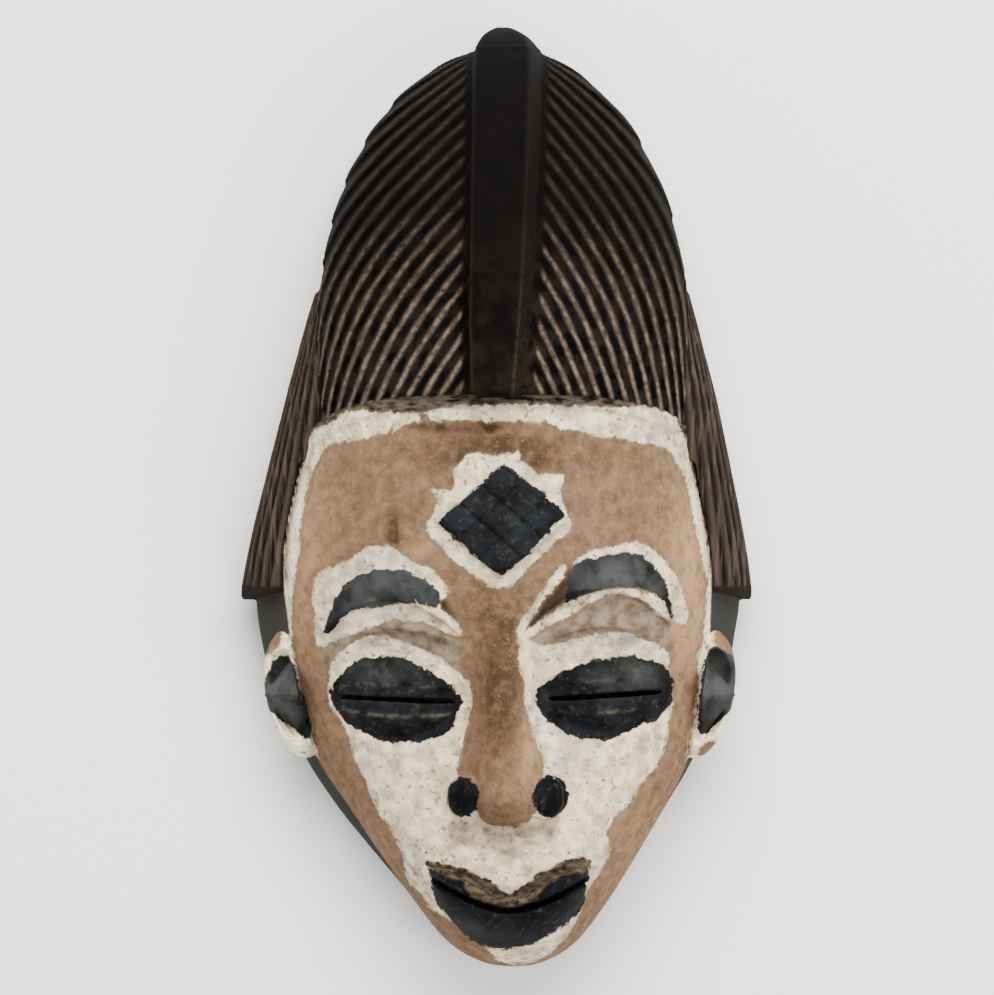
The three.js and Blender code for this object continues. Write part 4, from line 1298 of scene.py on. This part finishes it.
class CarvingSizes(bpy.types.PropertyGroup):
    grid_step: length("Grid step", "Distance between the points of the carved block", 0.0008)
    braid_depth: length("Braid depth", "Depth of the hollows between the braids' ridges", 0.002)
    crest_lift: length("Crest lift", "How far the crest stands above the hair", 0.0084)
    furrow_depth: length("Furrow depth", "Depth of the furrows in the side tresses", 0.0013)
    lid_rise: length("Eyelid rise", "How far the eyelids bulge out of their hollows", 0.010)
    brow_rise: length("Brow rise", "How far a brow's lower edge stands proud", 0.0042)
    upper_lip_rise: length("Upper lip rise", "How far the upper lip stands proud", 0.0085)
    lower_lip_rise: length("Lower lip rise", "How far the lower lip stands proud", 0.0105)
    mark_rise: length("Forehead mark rise", "How far the diamond on the forehead stands proud", 0.003)
    slit_width: length("Slit width", "Width of the slits to look through", 0.0018)
    hollow_depth: length("Hollow depth", "Depth of the hollow behind the face", 0.066)
    unevenness: length("Unevenness", "Height of the waves left by hand work", 0.0006)
    triangles: bpy.props.IntProperty(
        name="Triangles", description="Triangles that the carving is thinned to", default=188000, min=1000
    )


class PaintColours(bpy.types.PropertyGroup):
    ochre: colour("Ochre", "Tan ochre on the forehead", "#745b45")
    ochre_pale: colour("Pale ochre", "Paler ochre at the temples", "#a48160")
    ochre_deep: colour("Deep ochre", "Darker ochre in patches", "#413122")
    umber: colour("Umber", "Brown of bare, handled wood", "#33261b")
    lid_grey: colour("Lid grey", "Grey-tan wash over the eyelids", "#74644f")
    clay: colour("Clay", "White clay", "#c6b38d")
    # Also painted light on the steep sides of the border and the ears.
    clay_bright: colour("Bright clay", "Fresh white clay", "#f7e8c4")
    clay_grey: colour("Grey clay", "Thin, greyed clay", "#ab9f8e")
    # Also the colour of the painted shadow under the nose.
    clay_dirt_and_shade: colour("Dirt on clay", "Grey-brown specks on the clay", "#6c5d47")
    black: colour("Black", "Oiled black paint", "#080808")
    black_blue: colour("Blue-black", "Bluish cast in the black paint", "#101317")
    # Dust on the black, and a painted sheen on the brows.
    black_dusty: colour("Dusty black", "Black paint that weathered blue-grey", "#454745")
    # Also the painted highlight on the lids' edges.
    black_worn: colour("Worn black", "Black paint rubbed thin", "#4f483e")
    stain: colour("Stain", "Dark stain of the hair", "#100e0c")
    stain_warm: colour("Warm stain", "Browner stain near the hairline", "#2c231c")
    # Also painted shade at the bottom of the grooves.
    stain_deep: colour("Deep stain", "Nearly black stain in the grooves of the hair", "#040303")
    stain_worn: colour("Worn stain", "Ridges of the hair rubbed brown", "#4a4037")
    stain_brown: colour("Brown stain", "Brown stain of the side tresses", "#2e2722")
    stain_grey: colour("Grey stain", "Dusty stain of the rim", "#3e3d38")
    stain_chip: colour("Chipped stain", "Wood that shows where ridges are chipped", "#6d5d4f")
    band: colour("Band", "Grey-brown band under the hair", "#50473b")
    ledge_tan: colour("Lip ledge", "Worn tan of the upper lip's ledge", "#52473a")
    bare: colour("Bare wood", "Bare wood inside the hollow", "#7a5f45")


class StageSizes(bpy.types.PropertyGroup):
    floor_size: length("Floor size", "Side of the square floor", 6.0)
    camera_height: length("Camera height", "Height of the camera over the middle of the mask", 6.0)
    view_width: length("View width", "Width that the camera sees at the mask", 0.35784)


class CarveMask(bpy.types.Operator):
    """Carve the mask, paint it and fix it to its frame"""

    bl_idname = "object.carved_mask_carve"
    bl_label = "Carve mask"

    def execute(self, context):
        sizes = context.scene.carved_mask_sizes
        low, high = [np.array(corner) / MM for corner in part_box("mask")]
        step = 1 * sizes.grid_step / MM
        block = Block(low - GRID_MARGIN * step, high + GRID_MARGIN * step, step)
        forms = carved_fields(block, sizes)
        points, faces = skin(block, forms["whole"])
        made = mesh_object("carved_mask", points, faces)
        hollow = np.flatnonzero(np.abs(block.sample(forms["hollow"], points)) < HOLLOW_SKIN)
        add_unevenness(made, sizes, hollow)
        applied(made, sizes.triangles)
        store(made.data, paint_values(block, forms, positions(made.data)))
        made.data.materials.append(painted_wood(context.scene.carved_mask_colours))
        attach(made, "root")
        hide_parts("mask")
        return {"FINISHED"}


class SetStage(bpy.types.Operator):
    """Lay a pale floor, hang soft lights and set up the camera over the mask"""

    bl_idname = "object.carved_mask_stage"
    bl_label = "Set stage"

    def execute(self, context):
        sizes = context.scene.carved_mask_stage
        half = sizes.floor_size / 2
        corners = [(-half, -half, 0), (half, -half, 0), (half, half, 0), (-half, half, 0)]
        mesh = bpy.data.meshes.new("floor")
        mesh.from_pydata(corners, [], [(0, 1, 2, 3)])
        floor = bpy.data.objects.new("floor", mesh)
        mesh.materials.append(plain_material("Matt white paper", "#fbfaf8", roughness=0.9))
        context.scene.collection.objects.link(floor)
        for light in LIGHTS:
            self.add_light(context, **light)
        world = bpy.data.worlds.new("studio")
        world.use_nodes = True
        sky = world.node_tree.nodes["Background"]
        sky.inputs["Color"].default_value = linear(SKY_COLOUR)
        sky.inputs["Strength"].default_value = SKY_STRENGTH
        context.scene.world = world
        camera = bpy.data.objects.new("camera", bpy.data.cameras.new("camera"))
        x, y, z = VIEW_CENTRE
        camera.location = (x, y, z + sizes.camera_height)
        camera.data.lens = camera.data.sensor_width * sizes.camera_height / sizes.view_width
        camera.data.clip_end = VIEW_LIMIT
        context.scene.collection.objects.link(camera)
        context.scene.camera = camera
        return {"FINISHED"}

    def add_light(self, context, name, place, size, power):
        lamp = bpy.data.lights.new(name, "AREA")
        lamp.size = size
        lamp.energy = power
        made = bpy.data.objects.new(name, lamp)
        made.location = place
        made.rotation_mode = "QUATERNION"
        made.rotation_quaternion = (-made.location).to_track_quat("-Z", "Y")
        context.scene.collection.objects.link(made)


class MaskPanel(bpy.types.Panel):
    bl_idname = "VIEW3D_PT_carved_mask"
    bl_label = "Carved mask"
    bl_space_type = "VIEW_3D"
    bl_region_type = "UI"
    bl_category = "Carved mask"

    def draw(self, context):
        scene = context.scene
        for group in (scene.carved_mask_sizes, scene.carved_mask_colours, scene.carved_mask_stage):
            box = self.layout.box()
            for name in group.__annotations__:
                box.prop(group, name)
        self.layout.operator(CarveMask.bl_idname)
        self.layout.operator(SetStage.bl_idname)


CLASSES = (CarvingSizes, PaintColours, StageSizes, CarveMask, SetStage, MaskPanel)


def register():
    for made in CLASSES:
        bpy.utils.register_class(made)
    bpy.types.Scene.carved_mask_sizes = bpy.props.PointerProperty(type=CarvingSizes)
    bpy.types.Scene.carved_mask_colours = bpy.props.PointerProperty(type=PaintColours)
    bpy.types.Scene.carved_mask_stage = bpy.props.PointerProperty(type=StageSizes)


def unregister():
    del bpy.types.Scene.carved_mask_stage
    del bpy.types.Scene.carved_mask_colours
    del bpy.types.Scene.carved_mask_sizes
    for made in reversed(CLASSES):
        bpy.utils.unregister_class(made)


def main():
    register()
    bpy.ops.object.carved_mask_carve()
    bpy.ops.object.carved_mask_stage()


if __name__ == "__main__":
    main()
